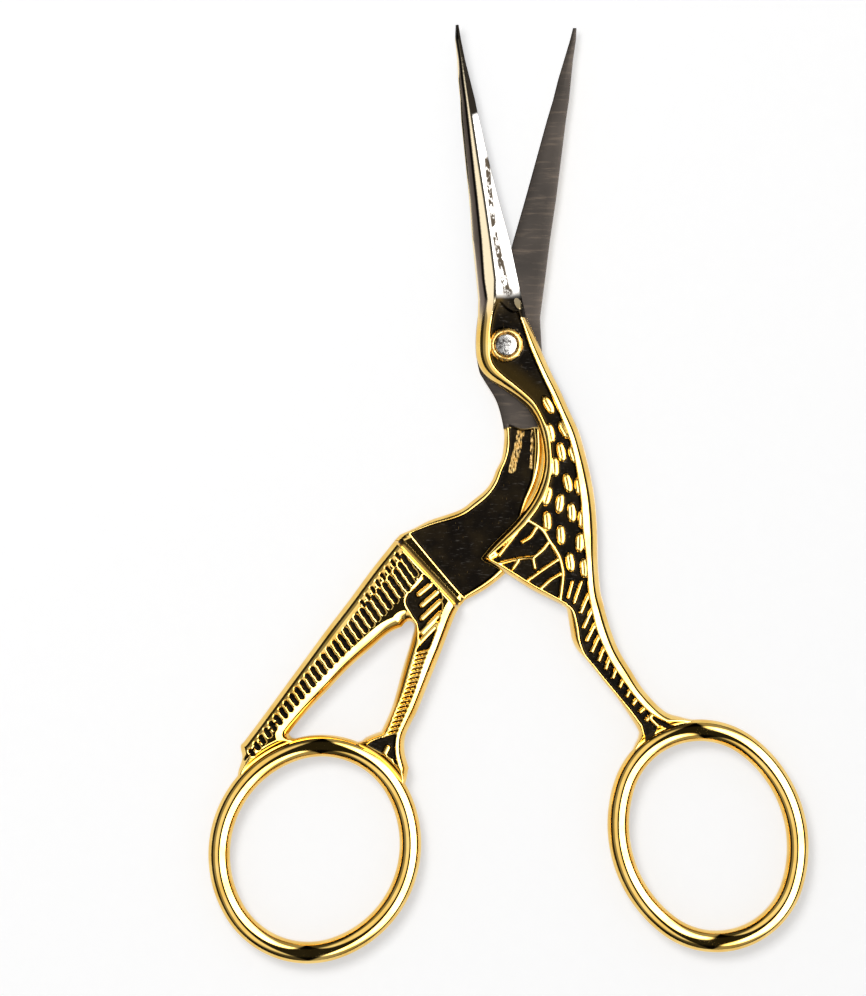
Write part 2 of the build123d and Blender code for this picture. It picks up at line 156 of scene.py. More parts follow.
# Outline of the neck, wing and tail shank below the blade
NECK_RIGHT = [
    (526.5, 318), (534, 334), (541, 350), (550, 370), (560, 390), (569, 410), (578, 430), (584, 450),
    (589, 470), (593, 490), (595.5, 510), (597, 535), (597.5, 560), (600, 590), (605, 610), (611, 630),
    (619, 650), (631, 670), (644, 690), (664, 710.5), (682, 717), (700, 721)
]
NECK_FOOT = [(700, 721), (694, 734), (668, 744), (650, 756), (640, 768), (627, 765)]
SHANK_LEFT = [
    (627, 765), (632.5, 749), (638, 736), (636, 727), (618, 700), (602, 680), (586, 660), (577, 650),
    (572, 640), (570, 630), (568, 618), (566, 609), (560, 604)
]
WING_HEM = [(560, 604), (532, 590), (502, 571), (484, 561)]
WING_TIP = [(484, 561), (481.6, 558.4), (484, 554.6)]
NECK_LEFT = [
    (484, 554.6), (494, 543), (513, 524), (524.5, 510), (531.3, 500), (536.3, 490), (540, 480),
    (542.3, 470), (543.3, 460), (542.8, 450), (541.5, 440), (539, 430), (535.3, 420), (529, 410),
    (518.5, 400), (505, 390), (490, 380), (481, 370), (476.5, 358), (475.5, 345), (476, 332),
    (477.5, 318)
]

# The shank's lower face drops to the table below these rows, right of this column
SHANK_ROWS = (606, 612)
SHANK_COLUMN = 556

# Sunk field of the neck, wing and shank, inside its rims
RIM_WIDTHS = (0.3, 1.6)
FIELD_RIGHT = [
    (518, 311), (523.5, 326), (529.5, 345), (535.5, 360), (544, 379), (554, 400), (562.5, 420),
    (570, 440), (574, 455), (577, 472), (581, 500), (583, 530), (586.5, 560), (588, 585), (590, 600),
    (593.5, 616), (597, 630), (603, 645), (610.5, 660), (618, 672), (630.5, 690), (641, 703),
    (652, 713), (670, 722.5), (692, 727.5)
]
FIELD_FOOT = [(692, 727.5), (680, 738), (655, 750), (643, 763), (641, 752), (643.5, 738), (641, 725)]
FIELD_SHANK = [
    (641, 725), (629, 709), (612, 689), (594, 667), (585, 656), (579.5, 642), (577, 626), (573, 611),
    (566, 603.5)
]
FIELD_HEM = [(557, 598), (534, 585.5), (505, 567.5), (491, 560)]
FIELD_WING = [(488.5, 556), (500, 546.5), (523, 526), (527, 521)]
FIELD_LEFT = [
    (527, 521), (534, 512), (541.5, 500), (546, 490), (549, 480), (550.5, 468), (550.5, 455),
    (549, 440), (547, 430), (542.5, 420), (537.5, 410), (530.5, 400), (514.5, 386), (503, 377),
    (494, 368), (489.5, 358), (489, 345), (489.5, 330), (492, 315), (495.5, 305), (499, 299)
]
FIELD_TOP = [(499, 299), (505, 306), (512, 311), (518, 311)]

# The notch below the bevel, painted black as shade, with its light patch, and the field's painted olive
# sheen
NOTCH_ROWS = ((286, 292), (316, 320))
NOTCH_PATCH = (518, 304)
NOTCH_PATCH_SIZE = (0.65, 1.25)
NOTCH_PATCH_LEAN = 25
NOTCH_PATCH_EDGE = (0, 0.7)
OLIVE_ROWS = ((338, 352), (392, 425))
OLIVE_REACH = (0.7, 2.2)
OLIVE_EDGE = (0.15, 0.6)
OLIVE_EDGE_SHARE = 0.8
OLIVE_LAST_ROW = 520

# The boss round the pivot's end, and the dish in it, by distance from the axis
BOSS_EDGE = (1.3, 1.85)
BOSS_RISE = 0.3
BOSS_BARE_SHARE = 0.9
DISH_EDGE = (1.12, 1.25)
# DISH_DARK: the dish's rim is painted black as shade
DISH_DARK = (1.17, 1.24)
DISH_DEPTH = 0.3

# Ornaments on the neck's field
ORNAMENT_RISE = 0.36
ORNAMENT_BLEND = 0.02
# FIELD_DARK and GROOVE_DARK: where the sunk field and the feathers' grooves are painted black as shade
FIELD_DARK = (0.04, 0.16)
ORNAMENT_BARE = (0.15, 0.45)
SEED_POWER = 2.2
FEATHERS = [
    (548, 405), (550, 433), (564, 430), (561, 452), (573.5, 455), (554.5, 467), (567.5, 483),
    (579, 486), (547, 496.5), (559.5, 503.7), (571.5, 512.5), (582, 519), (547, 521), (560.6, 535),
    (579.5, 542.5), (570, 562), (584, 568)
]
FEATHER_LEANS = [30, 12, 28, 12, 20, 4, 12, 6, -16, -8, 4, -2, 4, 4, -2, 8, 4]
FEATHER_SIZE = (0.98, 2.0)
GROOVE_WIDTH = 0.17
GROOVE_SHIFT = -0.1
GROOVE_SHARE = 0.26
GROOVE_DEPTH = 0.12
GROOVE_DARK = (0.3, 0.9)
GROOVE_DARK_SHARE = 0.5
WING_RIB = [(525, 519), (541, 529), (549, 541), (558, 555), (562, 569), (562.5, 578), (560, 598)]
QUILLS = [
    [(536, 528), (530, 537), (522, 542)], [(549, 541), (543, 549), (534, 557)], [(534, 557),
    (520, 558.5), (496, 564)], [(518, 561), (513, 568)], [(533, 560), (534.5, 567.5)], [(557, 560),
    (545, 568), (528, 580)], [(560, 574), (550, 580), (541, 588)], [(524, 524), (513, 537), (499, 555)],
    [(509, 532), (508, 538)], [(572, 582), (568, 597)], [(581, 582), (574, 602)]
]
WING_TIP_BOSS = [(487, 558), (494, 554.5)]
WING_TIP_BOSS_WIDTH = 0.8
RIB_WIDTH = 0.46
QUILL_WIDTH = 0.42
BARB_TIPS = [
    (592, 585), (595.5, 600), (599, 615), (602.5, 627), (606.5, 639), (611.5, 650), (618, 662),
    (625, 673), (632.5, 684), (640, 694), (648, 703), (656, 711)
]
BARB_FEET = [
    (580, 613), (583, 628), (586, 641), (591, 652), (598, 661), (605, 669), (612, 678), (619, 687),
    (626, 696), (632, 704), (639, 712), (645, 720)
]
BARB_WIDTH = 0.5
BARB_TIP_SHARE = 0.12
BARB_SWELL = 2.2
BARB_START_SHARE = -0.05
BARB_LEAST = 0.02
CLAWS = [[(648, 716), (659, 727), (668, 731)], [(659, 727), (655, 739)]]


def mm(points):
    """Pixels of the photograph as millimetres from the pivot's axis."""
    return np.array([((x - PIVOT_PX[0]) * MM_PER_PX, (PIVOT_PX[1] - y) * MM_PER_PX)
                     for x, y in points], float)


def curve(points, step=OUTLINE_STEP):
    """A smooth line through points, sampled at even steps."""
    p = mm(points)
    if len(p) > 2:
        p = np.vstack([2 * p[0] - p[1], p, 2 * p[-1] - p[-2]])
        out = []
        for a, b, c, d in zip(p, p[1:], p[2:], p[3:]):
            for t in np.linspace(0, 1, CURVE_STEPS, endpoint=False):
                out.append(0.5 * (2 * b + (c - a) * t + (2 * a - 5 * b + 4 * c - d) * t**2
                                  + (3 * b - a - 3 * c + d) * t**3))
        p = np.vstack([out, p[-2]])
    return even(p, step)


def even(p, step=OUTLINE_STEP):
    """A line's points moved to even steps along it."""
    run = np.concatenate([[0], np.cumsum(np.hypot(*np.diff(p, axis=0).T))])
    count = max(int(round(run[-1] / step)), 1)
    at = np.linspace(0, run[-1], count + 1)
    return np.column_stack([np.interp(at, run, p[:, 0]), np.interp(at, run, p[:, 1])])


def loop_of(*lines):
    """A closed outline from lines that follow each other, without doubled points."""
    p = np.vstack([curve(line) if isinstance(line, list) else line for line in lines])
    keep = np.hypot(*(p - np.roll(p, 1, axis=0)).T) > 0.3 * OUTLINE_STEP
    return p[keep]


def distance(q, line, closed=False):
    """Least distance of each point to a line whose points lie close together."""
    tree = KDTree(len(line))
    for k, (x, y) in enumerate(line.tolist()):
        tree.insert((x, y, 0), k)
    tree.balance()
    nearest = np.array([tree.find((x, y, 0))[1] for x, y in q.tolist()], int)
    last = len(line) - 1
    best = np.full(len(q), np.inf)
    for shift in (-1, 0):
        start, end = nearest + shift, nearest + shift + 1
        if closed:
            start, end = start % len(line), end % len(line)
        start, end = np.clip(start, 0, last), np.clip(end, 0, last)
        a, ab = line[start], line[end] - line[start]
        t = np.clip(((q - a) * ab).sum(1) / ((ab**2).sum(1) + 1e-12), 0, 1)
        best = np.minimum(best, np.hypot(*(q - a - t[:, None] * ab).T))
    return best


def stroke(q, line, width):
    """Height of a round stroke along a line, 1 on its middle and 0 at its border."""
    height = np.zeros(len(q))
    low, high = line.min(0) - width, line.max(0) + width
    near = ((q > low) & (q < high)).all(1)
    if near.any():
        share = distance(q[near], even(line, width / 4)) / (width / 2)
        height[near] = np.sqrt(np.clip(1 - share**2, 0, 1))
    return height


def strokes(q, pairs):
    """The highest of several strokes, given as pixel lines and widths."""
    return np.max([stroke(q, curve(line), width) for line, width in pairs], axis=0)


def inside(q, loop):
    """Which points lie inside a closed outline."""
    a, b = loop, np.roll(loop, -1, axis=0)
    low, high = np.minimum(a[:, 1], b[:, 1]), np.maximum(a[:, 1], b[:, 1])
    order = np.argsort(q[:, 1], kind="stable")
    hit = np.zeros(len(q), bool)
    for k in range(0, len(q), POINTS_AT_ONCE):
        some = order[k:k + POINTS_AT_ONCE]
        x, y = q[some, 0, None], q[some, 1, None]
        spans = (high >= y.min()) & (low <= y.max())
        ax, ay, bx, by = a[spans, 0], a[spans, 1], b[spans, 0], b[spans, 1]
        rise = np.where(by == ay, 1e-12, by - ay)
        crosses = ((ay > y) != (by > y)) & (x < ax + (y - ay) / rise * (bx - ax))
        hit[some] = crosses.sum(1) % 2 == 1
    return hit


def in_piece(q, loops):
    """Which points lie inside the first outline and outside the others, its holes."""
    return inside(q, loops[0]) & ~np.any([inside(q, hole) for hole in loops[1:]], axis=0)


def rim_distance(q, loops):
    """Least distance of each point to any of the outlines."""
    return np.min([distance(q, loop, closed=True) for loop in loops], axis=0)


def signed(q, loop):
    """Distance to a closed outline, positive inside it."""
    return distance(q, loop, closed=True) * np.where(inside(q, loop), 1, -1)


def ease(x, low, high):
    """Smooth step from 0 at low to 1 at high."""
    t = np.clip((x - low) / (high - low), 0, 1)
    return t * t * (3 - 2 * t)


def band(x, rise, fall):
    """1 between a soft rise and a soft fall, 0 outside them."""
    return ease(x, *rise) * (1 - ease(x, *fall))


def smax(a, b, blend):
    """The larger of two heights, with a small fillet where they cross."""
    h = np.clip(0.5 + 0.5 * (a - b) / blend, 0, 1)
    return b + (a - b) * h + blend * h * (1 - h)


def rounding(d, width, drop=EDGE_DROP):
    """How far a rounded edge lies below its crest, at a distance from the outline."""
    share = np.clip(1 - d / np.maximum(width, TINY), 0, 1)
    ellipse = 1 - np.sqrt(np.clip(1 - share**2, 0, 1))
    return drop * (ROUND_SHARE * ellipse + (1 - ROUND_SHARE) * share)


def circle(radius):
    """Points on a circle about the pivot, without the first one again at the end."""
    turns = np.linspace(0, 2 * math.pi, SCREW_STEPS, endpoint=False)
    return radius * np.column_stack([np.cos(turns), np.sin(turns)])


def turned(degrees):
    """The directions across and along something that leans by an angle."""
    cos, sin = math.cos(math.radians(degrees)), math.sin(math.radians(degrees))
    return np.array([cos, sin]), np.array([-sin, cos])


def seed(q, centre, lean, size):
    """Height of a seed shape, 1 at its middle and 0 at its border and beyond."""
    across, along = turned(lean)
    u = (q - centre) @ across / (size[0] / 2)
    v = (q - centre) @ along / (size[1] / 2)
    reach = np.abs(u) ** SEED_POWER + np.abs(v) ** SEED_POWER
    return np.sqrt(np.clip(1 - reach, 0, 1))


def triangulate(loops, spacing, shelves, lines):
    """Flat mesh inside outlines: returns points, triangles and each outline's indices."""
    low, high = loops[0].min(0), loops[0].max(0)
    grid = []
    for k, y in enumerate(np.arange(low[1], high[1], spacing * ROW_SHARE)):
        xs = np.arange(low[0] + (k % 2) * spacing / 2, high[0], spacing)
        grid.append(np.column_stack([xs, np.full(len(xs), y)]))
    grid = np.vstack(grid)
    grid = grid[in_piece(grid, loops)]
    grid = grid[rim_distance(grid, loops) > shelves[-1] + SHELF_GAP_SHARE * spacing]
    for line in lines:
        grid = grid[distance(grid, line) > LINE_GAP_SHARE * spacing]
    clouds, edges, spans, count = [*loops, *lines], [], [], 0
    for loop in loops:
        size = len(loop)
        edges += [(count + k, count + (k + 1) % size) for k in range(size)]
        spans.append(range(count, count + size))
        count += size
    rim_count = count
    for line in lines:
        edges += [(count + k, count + k + 1) for k in range(len(line) - 1)]
        count += len(line)
    for loop in loops:
        ahead = np.roll(loop, -1, axis=0) - np.roll(loop, 1, axis=0)
        normal = np.column_stack([-ahead[:, 1], ahead[:, 0]]) / np.hypot(*ahead.T)[:, None]
        for depth in shelves:
            for side in (1, -1):
                shelf = loop + side * depth * normal
                shelf = shelf[in_piece(shelf, loops)]
                if len(shelf):
                    clouds.append(shelf[rim_distance(shelf, loops) > depth - SHELF_SLACK])
    cloud = np.vstack(clouds + [grid])
    result = delaunay_2d_cdt([Vector(p) for p in cloud.tolist()], edges, [], 0, TINY)
    verts = np.array([(v.x, v.y) for v in result[0]])
    faces = np.array([f for f in result[2] if len(f) == 3])
    origin = [o[0] if o else -1 for o in result[3]]
    place = {o: k for k, o in enumerate(origin) if 0 <= o < rim_count}
    on_rim = np.zeros(len(verts), bool)
    on_rim[list(place.values())] = True
    # A face with all its corners on outlines may lie outside the piece or in a hole
    unsure = on_rim[faces].all(1)
    keep = np.ones(len(faces), bool)
    keep[unsure] = in_piece(verts[faces[unsure]].mean(1), loops)
    outer = ~inside(verts, loops[0]) & ~on_rim
    keep &= ~outer[faces].any(1)
    rims = [[place[k] for k in span if k in place] for span in spans]
    return verts, trimmed(faces[keep], rims, len(verts)), rims


def trimmed(faces, rims, count):
    """Faces without the slivers outside an outline, whose free edge isn't part of it."""
    outline = [sorted((rim[k - 1], rim[k])) for rim in rims for k in range(len(rim))]
    outline = [low * count + high for low, high in outline]
    while True:
        edges = np.sort(faces[:, [[0, 1], [1, 2], [2, 0]]], axis=2)
        edges = edges[..., 0] * count + edges[..., 1]
        _, where, uses = np.unique(edges, return_inverse=True, return_counts=True)
        free = uses[where].reshape(edges.shape) == 1
        stray = (free & ~np.isin(edges, outline)).any(1)
        if not stray.any():
            return faces
        faces = faces[~stray]


MASKS = ("painted_shade", "nickel", "side", "pale", "dark", "scuffed", "lapped", "wear_and_sheen", "olive")


def casting(name, loops, top, bottom, lines=(), low_lines=()):
    """A closed cast piece: an upper face with relief, a lower face, and walls between."""
    upper, faces, rims = triangulate(loops, GRID, SHELVES, lines)
    lower, back, low_rims = triangulate(loops, BACK_GRID, BACK_SHELVES, low_lines)
    d_top, d_low = rim_distance(upper, loops), rim_distance(lower, loops)
    d_top[np.concatenate(rims)] = 0
    d_low[np.concatenate(low_rims)] = 0
    z_top, masks = top(upper, d_top)
    z_low, low_masks = bottom(lower, d_low)
    verts = np.vstack([np.column_stack([upper, z_top]), np.column_stack([lower, z_low])]) * MM
    base = len(upper)
    polys = faces.tolist() + [[c + base, b + base, a + base] for a, b, c in back.tolist()]
    for rim, low_rim in zip(rims, low_rims):
        size = len(rim)
        for k in range(size):
            a, b = rim[k], rim[(k + 1) % size]
            polys.append([a, low_rim[k] + base, low_rim[(k + 1) % size] + base, b])
    mesh = bpy.data.meshes.new(name)
    mesh.from_pydata(verts.tolist(), [], polys)
    mesh.update()
    for key in MASKS:
        layer = mesh.attributes.new(key, "FLOAT", "POINT")
        values = masks.get(key, np.zeros(len(upper))), low_masks.get(key, np.zeros(len(lower)))
        layer.data.foreach_set("value", np.concatenate(values))
    work = bmesh.new()
    work.from_mesh(mesh)
    bmesh.ops.recalc_face_normals(work, faces=work.faces)
    return finished(name, work, mesh=mesh)


# Blades: their sections at each row of the photograph


def rows_of(q):
    """The photograph's row of each point."""
    return PIVOT_PX[1] - q[:, 1] / MM_PER_PX


def at_rows(rows, columns, steps=BLADE_ROWS):
    """Where a line of a blade lies at each row, in millimetres."""
    return (np.interp(rows, steps, columns) - PIVOT_PX[0]) * MM_PER_PX


def taper(rows, heights):
    """A height of the blades' section at each row."""
    return np.interp(rows, TAPER_ROWS, heights)


def blade_line(columns, rows, step=OUTLINE_STEP):
    """A line of a blade, straight between the rows given."""
    return even(mm(list(zip(columns, rows))), step)


def blade_height(q):
    """Facets of the front blade: side, spine strip and bevel, with the bevel's run-out."""
    rows = rows_of(q)
    borders = [at_rows(rows, c) for c in (BLADE_LEFT, STRIP_LEFT, STRIP_RIGHT, BLADE_EDGE)]
    crest = NECK_FLOOR + taper(rows, CREST_HEIGHTS)
    side = NECK_FLOOR + taper(rows, SIDE_HEIGHTS)
    run_out = RUN_OUT_RISE * ease(rows, *RUN_OUT_ROWS) ** 2
    edge = NECK_FLOOR + taper(rows, LAND_HEIGHTS) + run_out
    edge = np.maximum(edge, crest - BEVEL_SLOPE * (borders[3] - borders[2]))
    lean = np.minimum(STRIP_LEAN, STRIP_LEAN_SHARE * (borders[2] - borders[1]))
    heights = [side, crest - lean, crest, edge]
    z = heights[0].copy()
    for k in range(3):
        span = np.maximum(borders[k + 1] - borders[k], THIN_STRIP)
        share = np.clip((q[:, 0] - borders[k]) / span, 0, 1)
        if k == 0:
            share = 1 - (1 - share) ** SIDE_POWER
        z = np.where(q[:, 0] >= borders[k], heights[k] + share * (heights[k + 1] - heights[k]), z)
    past = [q[:, 0] - border for border in borders]
    side_mask = ease(past[0], *SIDE_RISE) * (1 - ease(past[1], *SIDE_FALL))
    bevel_mask = ease(past[2], *BEVEL_RISE)
    # Painted dark reflections: dark lines on both sides of the strip and at the edge, and the dark
    # bevel near the tip
    lines = np.maximum(band(past[1], *LEFT_LINE), band(past[2], *RIGHT_LINE))
    tip = ease(past[2], *TIP_RISE) * (1 - ease(rows + TIP_LEAN * past[3], *TIP_ROWS))
    edge_line = EDGE_LINE_SHARE * ease(past[3], *EDGE_LINE) * ease(rows, *EDGE_LINE_ROWS)
    return z, side_mask, bevel_mask, np.maximum(lines, np.maximum(tip, edge_line))


def scuffed(q):
    """Where the bevel is scuffed: a band down its middle."""
    width = np.interp(rows_of(q), SCUFF_ROWS, SCUFF_WIDTHS)
    low, high = SCUFF_SHARES
    return 1 - ease(distance(q, curve(SCUFF_LINE)), width * low, width * high)


def under_wire(q, z, ring):
    """Heights drawn down where a ring's wire covers the casting."""
    line = np.array([place for place, _ in ring_line(*ring)])
    share = distance(q, line, closed=True) / (WIRE_WIDTH / 2)
    low, high = WIRE_REACH_SHARES
    round_top = np.sqrt(1 - np.minimum(share, low)**2)
    wire = TOP / 2 + WIRE_FLANK + WIRE_WIDTH / 2 * round_top - WIRE_COVER
    return np.minimum(z, wire + (TOP + WIRE_CLEAR - wire) * ease(share, low, high))


def ornaments(q):
    """Heights of the feathers, quills and claws, and of the feathers' grooves."""
    lines = [(WING_RIB, RIB_WIDTH), (WING_TIP_BOSS, WING_TIP_BOSS_WIDTH)]
    ornament = strokes(q, lines + [(line, QUILL_WIDTH) for line in QUILLS + CLAWS])
    groove = 0
    for centre, lean in zip(mm(FEATHERS), FEATHER_LEANS):
        ornament = np.maximum(ornament, seed(q, centre, lean, FEATHER_SIZE))
        across, along = turned(lean)
        middle = centre + across * GROOVE_SHIFT
        reach = along * FEATHER_SIZE[1] * GROOVE_SHARE
        line = np.array([middle - reach, middle + reach])
        groove = np.maximum(groove, stroke(q, line, GROOVE_WIDTH))
    return ornament, groove


def barbs(q):
    """Heights of the barbs down the tail, each swelling from its tip to its foot."""
    height = 0
    for tip, foot in zip(mm(BARB_TIPS), mm(BARB_FEET)):
        way = foot - tip
        length = math.hypot(*way)
        t = ((q - tip) @ way) / length**2
        aside = np.abs((q[:, 0] - tip[0]) * way[1] - (q[:, 1] - tip[1]) * way[0]) / length
        half = BARB_WIDTH / 2 * np.clip(t * BARB_SWELL + BARB_TIP_SHARE, 0, 1)
        round_top = np.sqrt(np.clip(1 - (aside / np.maximum(half, BARB_LEAST))**2, 0, 1))
        height = np.maximum(height, round_top * (t > BARB_START_SHARE) * (t < 1))
    return height


def neck_top(q, d):
    """Heights and masks of the front half's upper face."""
    f = signed(q, loop_of(FIELD_RIGHT, FIELD_FOOT, FIELD_SHANK, FIELD_HEM, FIELD_WING, FIELD_LEFT,
                          FIELD_TOP))
    ornament, groove = ornaments(q)
    ornament = np.maximum(ornament, barbs(q))
    ring = np.hypot(q[:, 0], q[:, 1])
    boss = 1 - ease(ring, *BOSS_EDGE)
    z = TOP - RELIEF * ease(f, 0, RELIEF_SLOPE)
    rise = ORNAMENT_RISE * ornament - GROOVE_DEPTH * groove
    z = smax(z, TOP - RELIEF + rise, ORNAMENT_BLEND)
    z = np.maximum(z, TOP - RELIEF + BOSS_RISE * boss)
    z = z - DISH_DEPTH * (1 - ease(ring, *DISH_EDGE))
    z = under_wire(q, z - rounding(d, np.clip(d - f, *RIM_WIDTHS)), NECK_RING)
    blade, side_mask, bevel_mask, dark = blade_height(q)
    rows = rows_of(q)
    merge = ease(rows, *MERGE_ROWS)
    z = np.where(rows < MERGE_ROWS[1], blade * (1 - merge) + z * merge, z)
    # Painted shade: the sunk field, the feathers' grooves and the dish's rim are painted black,
    # standing in for the dark reflection these recesses show; the ornaments and the boss stay gold
    painted_shade = ease(f, *FIELD_DARK) * (1 - ease(ornament, *ORNAMENT_BARE))
    painted_shade = np.maximum(painted_shade, GROOVE_DARK_SHARE * ease(groove, *GROOVE_DARK))
    painted_shade = painted_shade * (1 - BOSS_BARE_SHARE * boss)
    painted_shade = np.maximum(painted_shade, 1 - ease(ring, *DISH_DARK))
    # The notch below the bevel is painted black as shade, with a light patch left in it
    patch = seed(q, mm([NOTCH_PATCH])[0], NOTCH_PATCH_LEAN, NOTCH_PATCH_SIZE)
    notch = band(rows, *NOTCH_ROWS) * bevel_mask * (1 - ease(patch, *NOTCH_PATCH_EDGE))
    # Painted sheen: an olive tint in the painted shade near the field's left rim
    near_left = distance(q, curve(FIELD_LEFT))
    olive = band(rows, *OLIVE_ROWS) * (1 - ease(near_left, *OLIVE_REACH))
    olive_edge = OLIVE_EDGE_SHARE * (1 - ease(near_left, *OLIVE_EDGE))
    return z, {
        "painted_shade": np.maximum(painted_shade, notch),
        "nickel": bevel_mask * (1 - ease(rows, *NICKEL_ROWS)),
        "side": side_mask * (1 - ease(rows, *SIDE_ROWS)),
        "pale": 1 - ease(rows, *PALE_ROWS),
        "dark": dark * (1 - ease(rows, *DARK_ROWS)),
        "scuffed": scuffed(q) * bevel_mask,
        "wear_and_sheen": boss,
        "olive": np.maximum(olive, olive_edge * (rows < OLIVE_LAST_ROW)),
    }


def neck_bottom(q, d):
    """Heights and masks of the front half's lower face."""
    rows = rows_of(q)
    columns = PIVOT_PX[0] + q[:, 0] / MM_PER_PX
    floor = NECK_FLOOR * (1 - ease(rows, *SHANK_ROWS) * (columns > SHANK_COLUMN))
    drop = np.where(rows < BLADE_ROWS[-1], LAP_ROUND, BACK_ROUND)
    return floor + rounding(d, BACK_ROUND, drop), {"lapped": 1 - ease(rows, *LAPPED_ROWS)}


def neck_casting():
    """Front half: blade, neck, wing and tail shank."""
    left = blade_line(BLADE_LEFT, BLADE_ROWS)[::-1]
    right = blade_line(BLADE_EDGE, BLADE_ROWS)
    outline = loop_of(right, NECK_RIGHT, NECK_FOOT, SHANK_LEFT, WING_HEM, WING_TIP, NECK_LEFT, left)
    strips = [blade_line(columns[1:], BLADE_ROWS[1:], STRIP_STEP)
              for columns in (STRIP_LEFT, STRIP_RIGHT)]
    return casting("neck_casting", [outline[::-1]], neck_top, neck_bottom, strips)


# Finger rings


def oval(half_width, half_length):
    """Points of an oval of four arcs, each with its outward direction."""
    end = END_ARC_SHARE * half_width
    rise = half_length - end
    side = (half_width**2 + rise**2 - end**2) / (2 * (half_width - end))
    lean = math.atan2(rise, side - half_width)
    arcs = [((half_width - side, 0), side, -lean, 2 * lean),
            ((0, rise), end, lean, math.pi - 2 * lean),
            ((side - half_width, 0), side, math.pi - lean, 2 * lean),
            ((0, -rise), end, math.pi + lean, math.pi - 2 * lean)]
    points = []
    for (cx, cy), radius, start, turn in arcs:
        for k in range(RING_STEPS // 4):
            a = start + turn * k / (RING_STEPS // 4)
            way = (math.cos(a), math.sin(a))
            points.append(((cx + radius * way[0], cy + radius * way[1]), way))
    return points


def ring_line(centre, half, tilt):
    """Middle line of a ring's wire: its points, each with its outward direction."""
    across, along = turned(tilt)
    return [(centre + x * across + y * along, wx * across + wy * along)
            for (x, y), (wx, wy) in oval(half[0] - WIRE_WIDTH / 2, half[1] - WIRE_WIDTH / 2)]


def finger_ring(name, *ring):
    """An oval wire swept round an oval middle line."""
    work = bmesh.new()
    loops = []
    for place, way in ring_line(*ring):
        loop = []
        for k in range(WIRE_SIDES):
            a = 2 * math.pi * (k + 0.5) / WIRE_SIDES
            x, y = place + way * WIRE_WIDTH / 2 * math.cos(a)
            z = TOP / 2 + math.copysign(WIRE_FLANK, math.sin(a)) + WIRE_WIDTH / 2 * math.sin(a)
            loop.append(work.verts.new((x * MM, y * MM, z * MM)))
        loops.append(loop)
    for near, far in zip(loops, loops[1:] + loops[:1]):
        for k in range(WIRE_SIDES):
            after = (k + 1) % WIRE_SIDES
            work.faces.new((near[k], near[after], far[after], far[k]))
    bmesh.ops.recalc_face_normals(work, faces=work.faces)
    return finished(name, work)


def finished(name, work, smooth=True, mesh=None):
    """A piece from a bmesh."""
    for face in work.faces:
        face.smooth = smooth
    mesh = mesh or bpy.data.meshes.new(name)
    work.to_mesh(mesh)
    work.free()
    piece = bpy.data.objects.new(name, mesh)
    bpy.context.collection.objects.link(piece)
    return piece


# Lower half in the photograph: blade, body plate and legs

BACK_ROWS = (28, 40, 60, 80, 100, 120, 160, 200, 240, 280, 318)
BACK_EDGE = (573, 570, 564, 558, 553, 547, 536, 525, 513.5, 503, 493)
BACK_SPINE = (576.5, 576, 573, 571, 569, 566, 561, 556, 550, 545, 540)
LEG_RIGHT = [
    (540, 318), (541.5, 345), (544, 375), (545.5, 400), (546, 425), (546.5, 450), (545, 466),
    (541.5, 481), (535, 497), (526, 515), (518, 545), (510, 567), (502, 577), (485, 590), (465, 601)
]
LEG_OUTER = [
    (465, 601), (457, 612), (449.5, 630), (442, 650), (434, 670), (426, 690), (418, 710), (411, 724),
    (405.5, 737), (405, 752), (409, 768)
]
LEG_FOOT = [
    (409, 768), (404, 786), (392, 778), (368, 759), (330, 748), (290, 750), (258, 764), (236, 786)
]
LEG_FRONT = [
    (236, 786), (238, 772), (242, 758), (240.5, 746), (245, 740), (260, 720), (282, 690), (304, 660),
    (326, 630), (349, 600), (371, 570), (394, 541)
]
LEG_BREAST = [
    (400, 534.5), (415, 527.5), (430, 520), (459, 510), (473, 500), (485, 490), (492, 480), (496, 470),
    (501, 460), (503, 450), (504, 435), (502, 420), (496, 400), (484, 380), (479, 370), (477, 350),
    (485, 330), (493, 318)
]
HOLE = [
    [(402, 627), (406, 622.5), (411, 622), (414, 627), (411, 640), (402, 670), (394, 700), (388, 716),
    (381, 731)], [(381, 731), (374, 733.5), (366, 737), (360, 741), (350, 741), (330, 737), (310, 736),
    (295, 738), (290, 735), (291, 731), (308, 711), (329, 689), (349, 668), (371, 648.5), (388, 634),
    (402, 627)]
]

BODY_FIELD = [
    [(508, 424), (522, 429), (534, 428)], [(535.5, 440), (535, 455), (532.5, 480), (523, 505),
    (514, 540), (503, 565), (497, 573.5), (484, 584), (465, 596)], [(465, 596), (462, 596), (436, 566),
    (409, 533.5)], [(412, 531.5), (432, 524), (460, 515.5), (476, 505), (488.5, 494), (496.5, 482),
    (501, 470), (506, 458), (508.5, 445), (508, 424)]
]
BODY_DEPTH = 0.34
BODY_RIM_WIDTHS = (0.3, 0.78)
BODY_EDGE_DROP = 1.0
# BODY_DARK: where the body's sunk field is painted black as shade
BODY_DARK = (0.02, 0.1)
# Light streaks of painted sheen across the body's painted shade
STREAKS = [([(521, 430), (517, 450), (512, 470)], 0.84), ([(533, 430), (531.5, 467)], 0.42)]
STREAK_EDGE = (0.1, 0.8)
STREAK_SHARE = 0.6

# The neck half laps the body above these rows, along a slightly wavy border
LAP_ROWS = (427.5, 430)
LAP_WAVE = 2.6
LAP_FLAT_SHARE = 0.94

# Step from the body up to the legs. Its slope starts and ends this far past its foot,
# clear of the closed wing
STEP_FOOT = [(400, 534), (463, 602)]
SLOPE_START, SLOPE_END = 0.3, 0.85
# SLOPE_DARK: a band of the step's slope painted black as shade
SLOPE_DARK = ((0.1, 0.16), (0.62, 0.7))
SLOPE_RIM = (0.25, 0.4)
TOOTH_REACH = 0.16
TOOTH_SIZE = 0.1
TOOTH_WAVES = (26, 61)
TOOTH_SHIFT = 2
TOOTH_BORDER = (-0.04, 0.04)
LEG_START = 0.4
LEG_DARK_START = 0.8
LEG_RIM_WIDTHS = (0.4, EDGE_WIDTH)

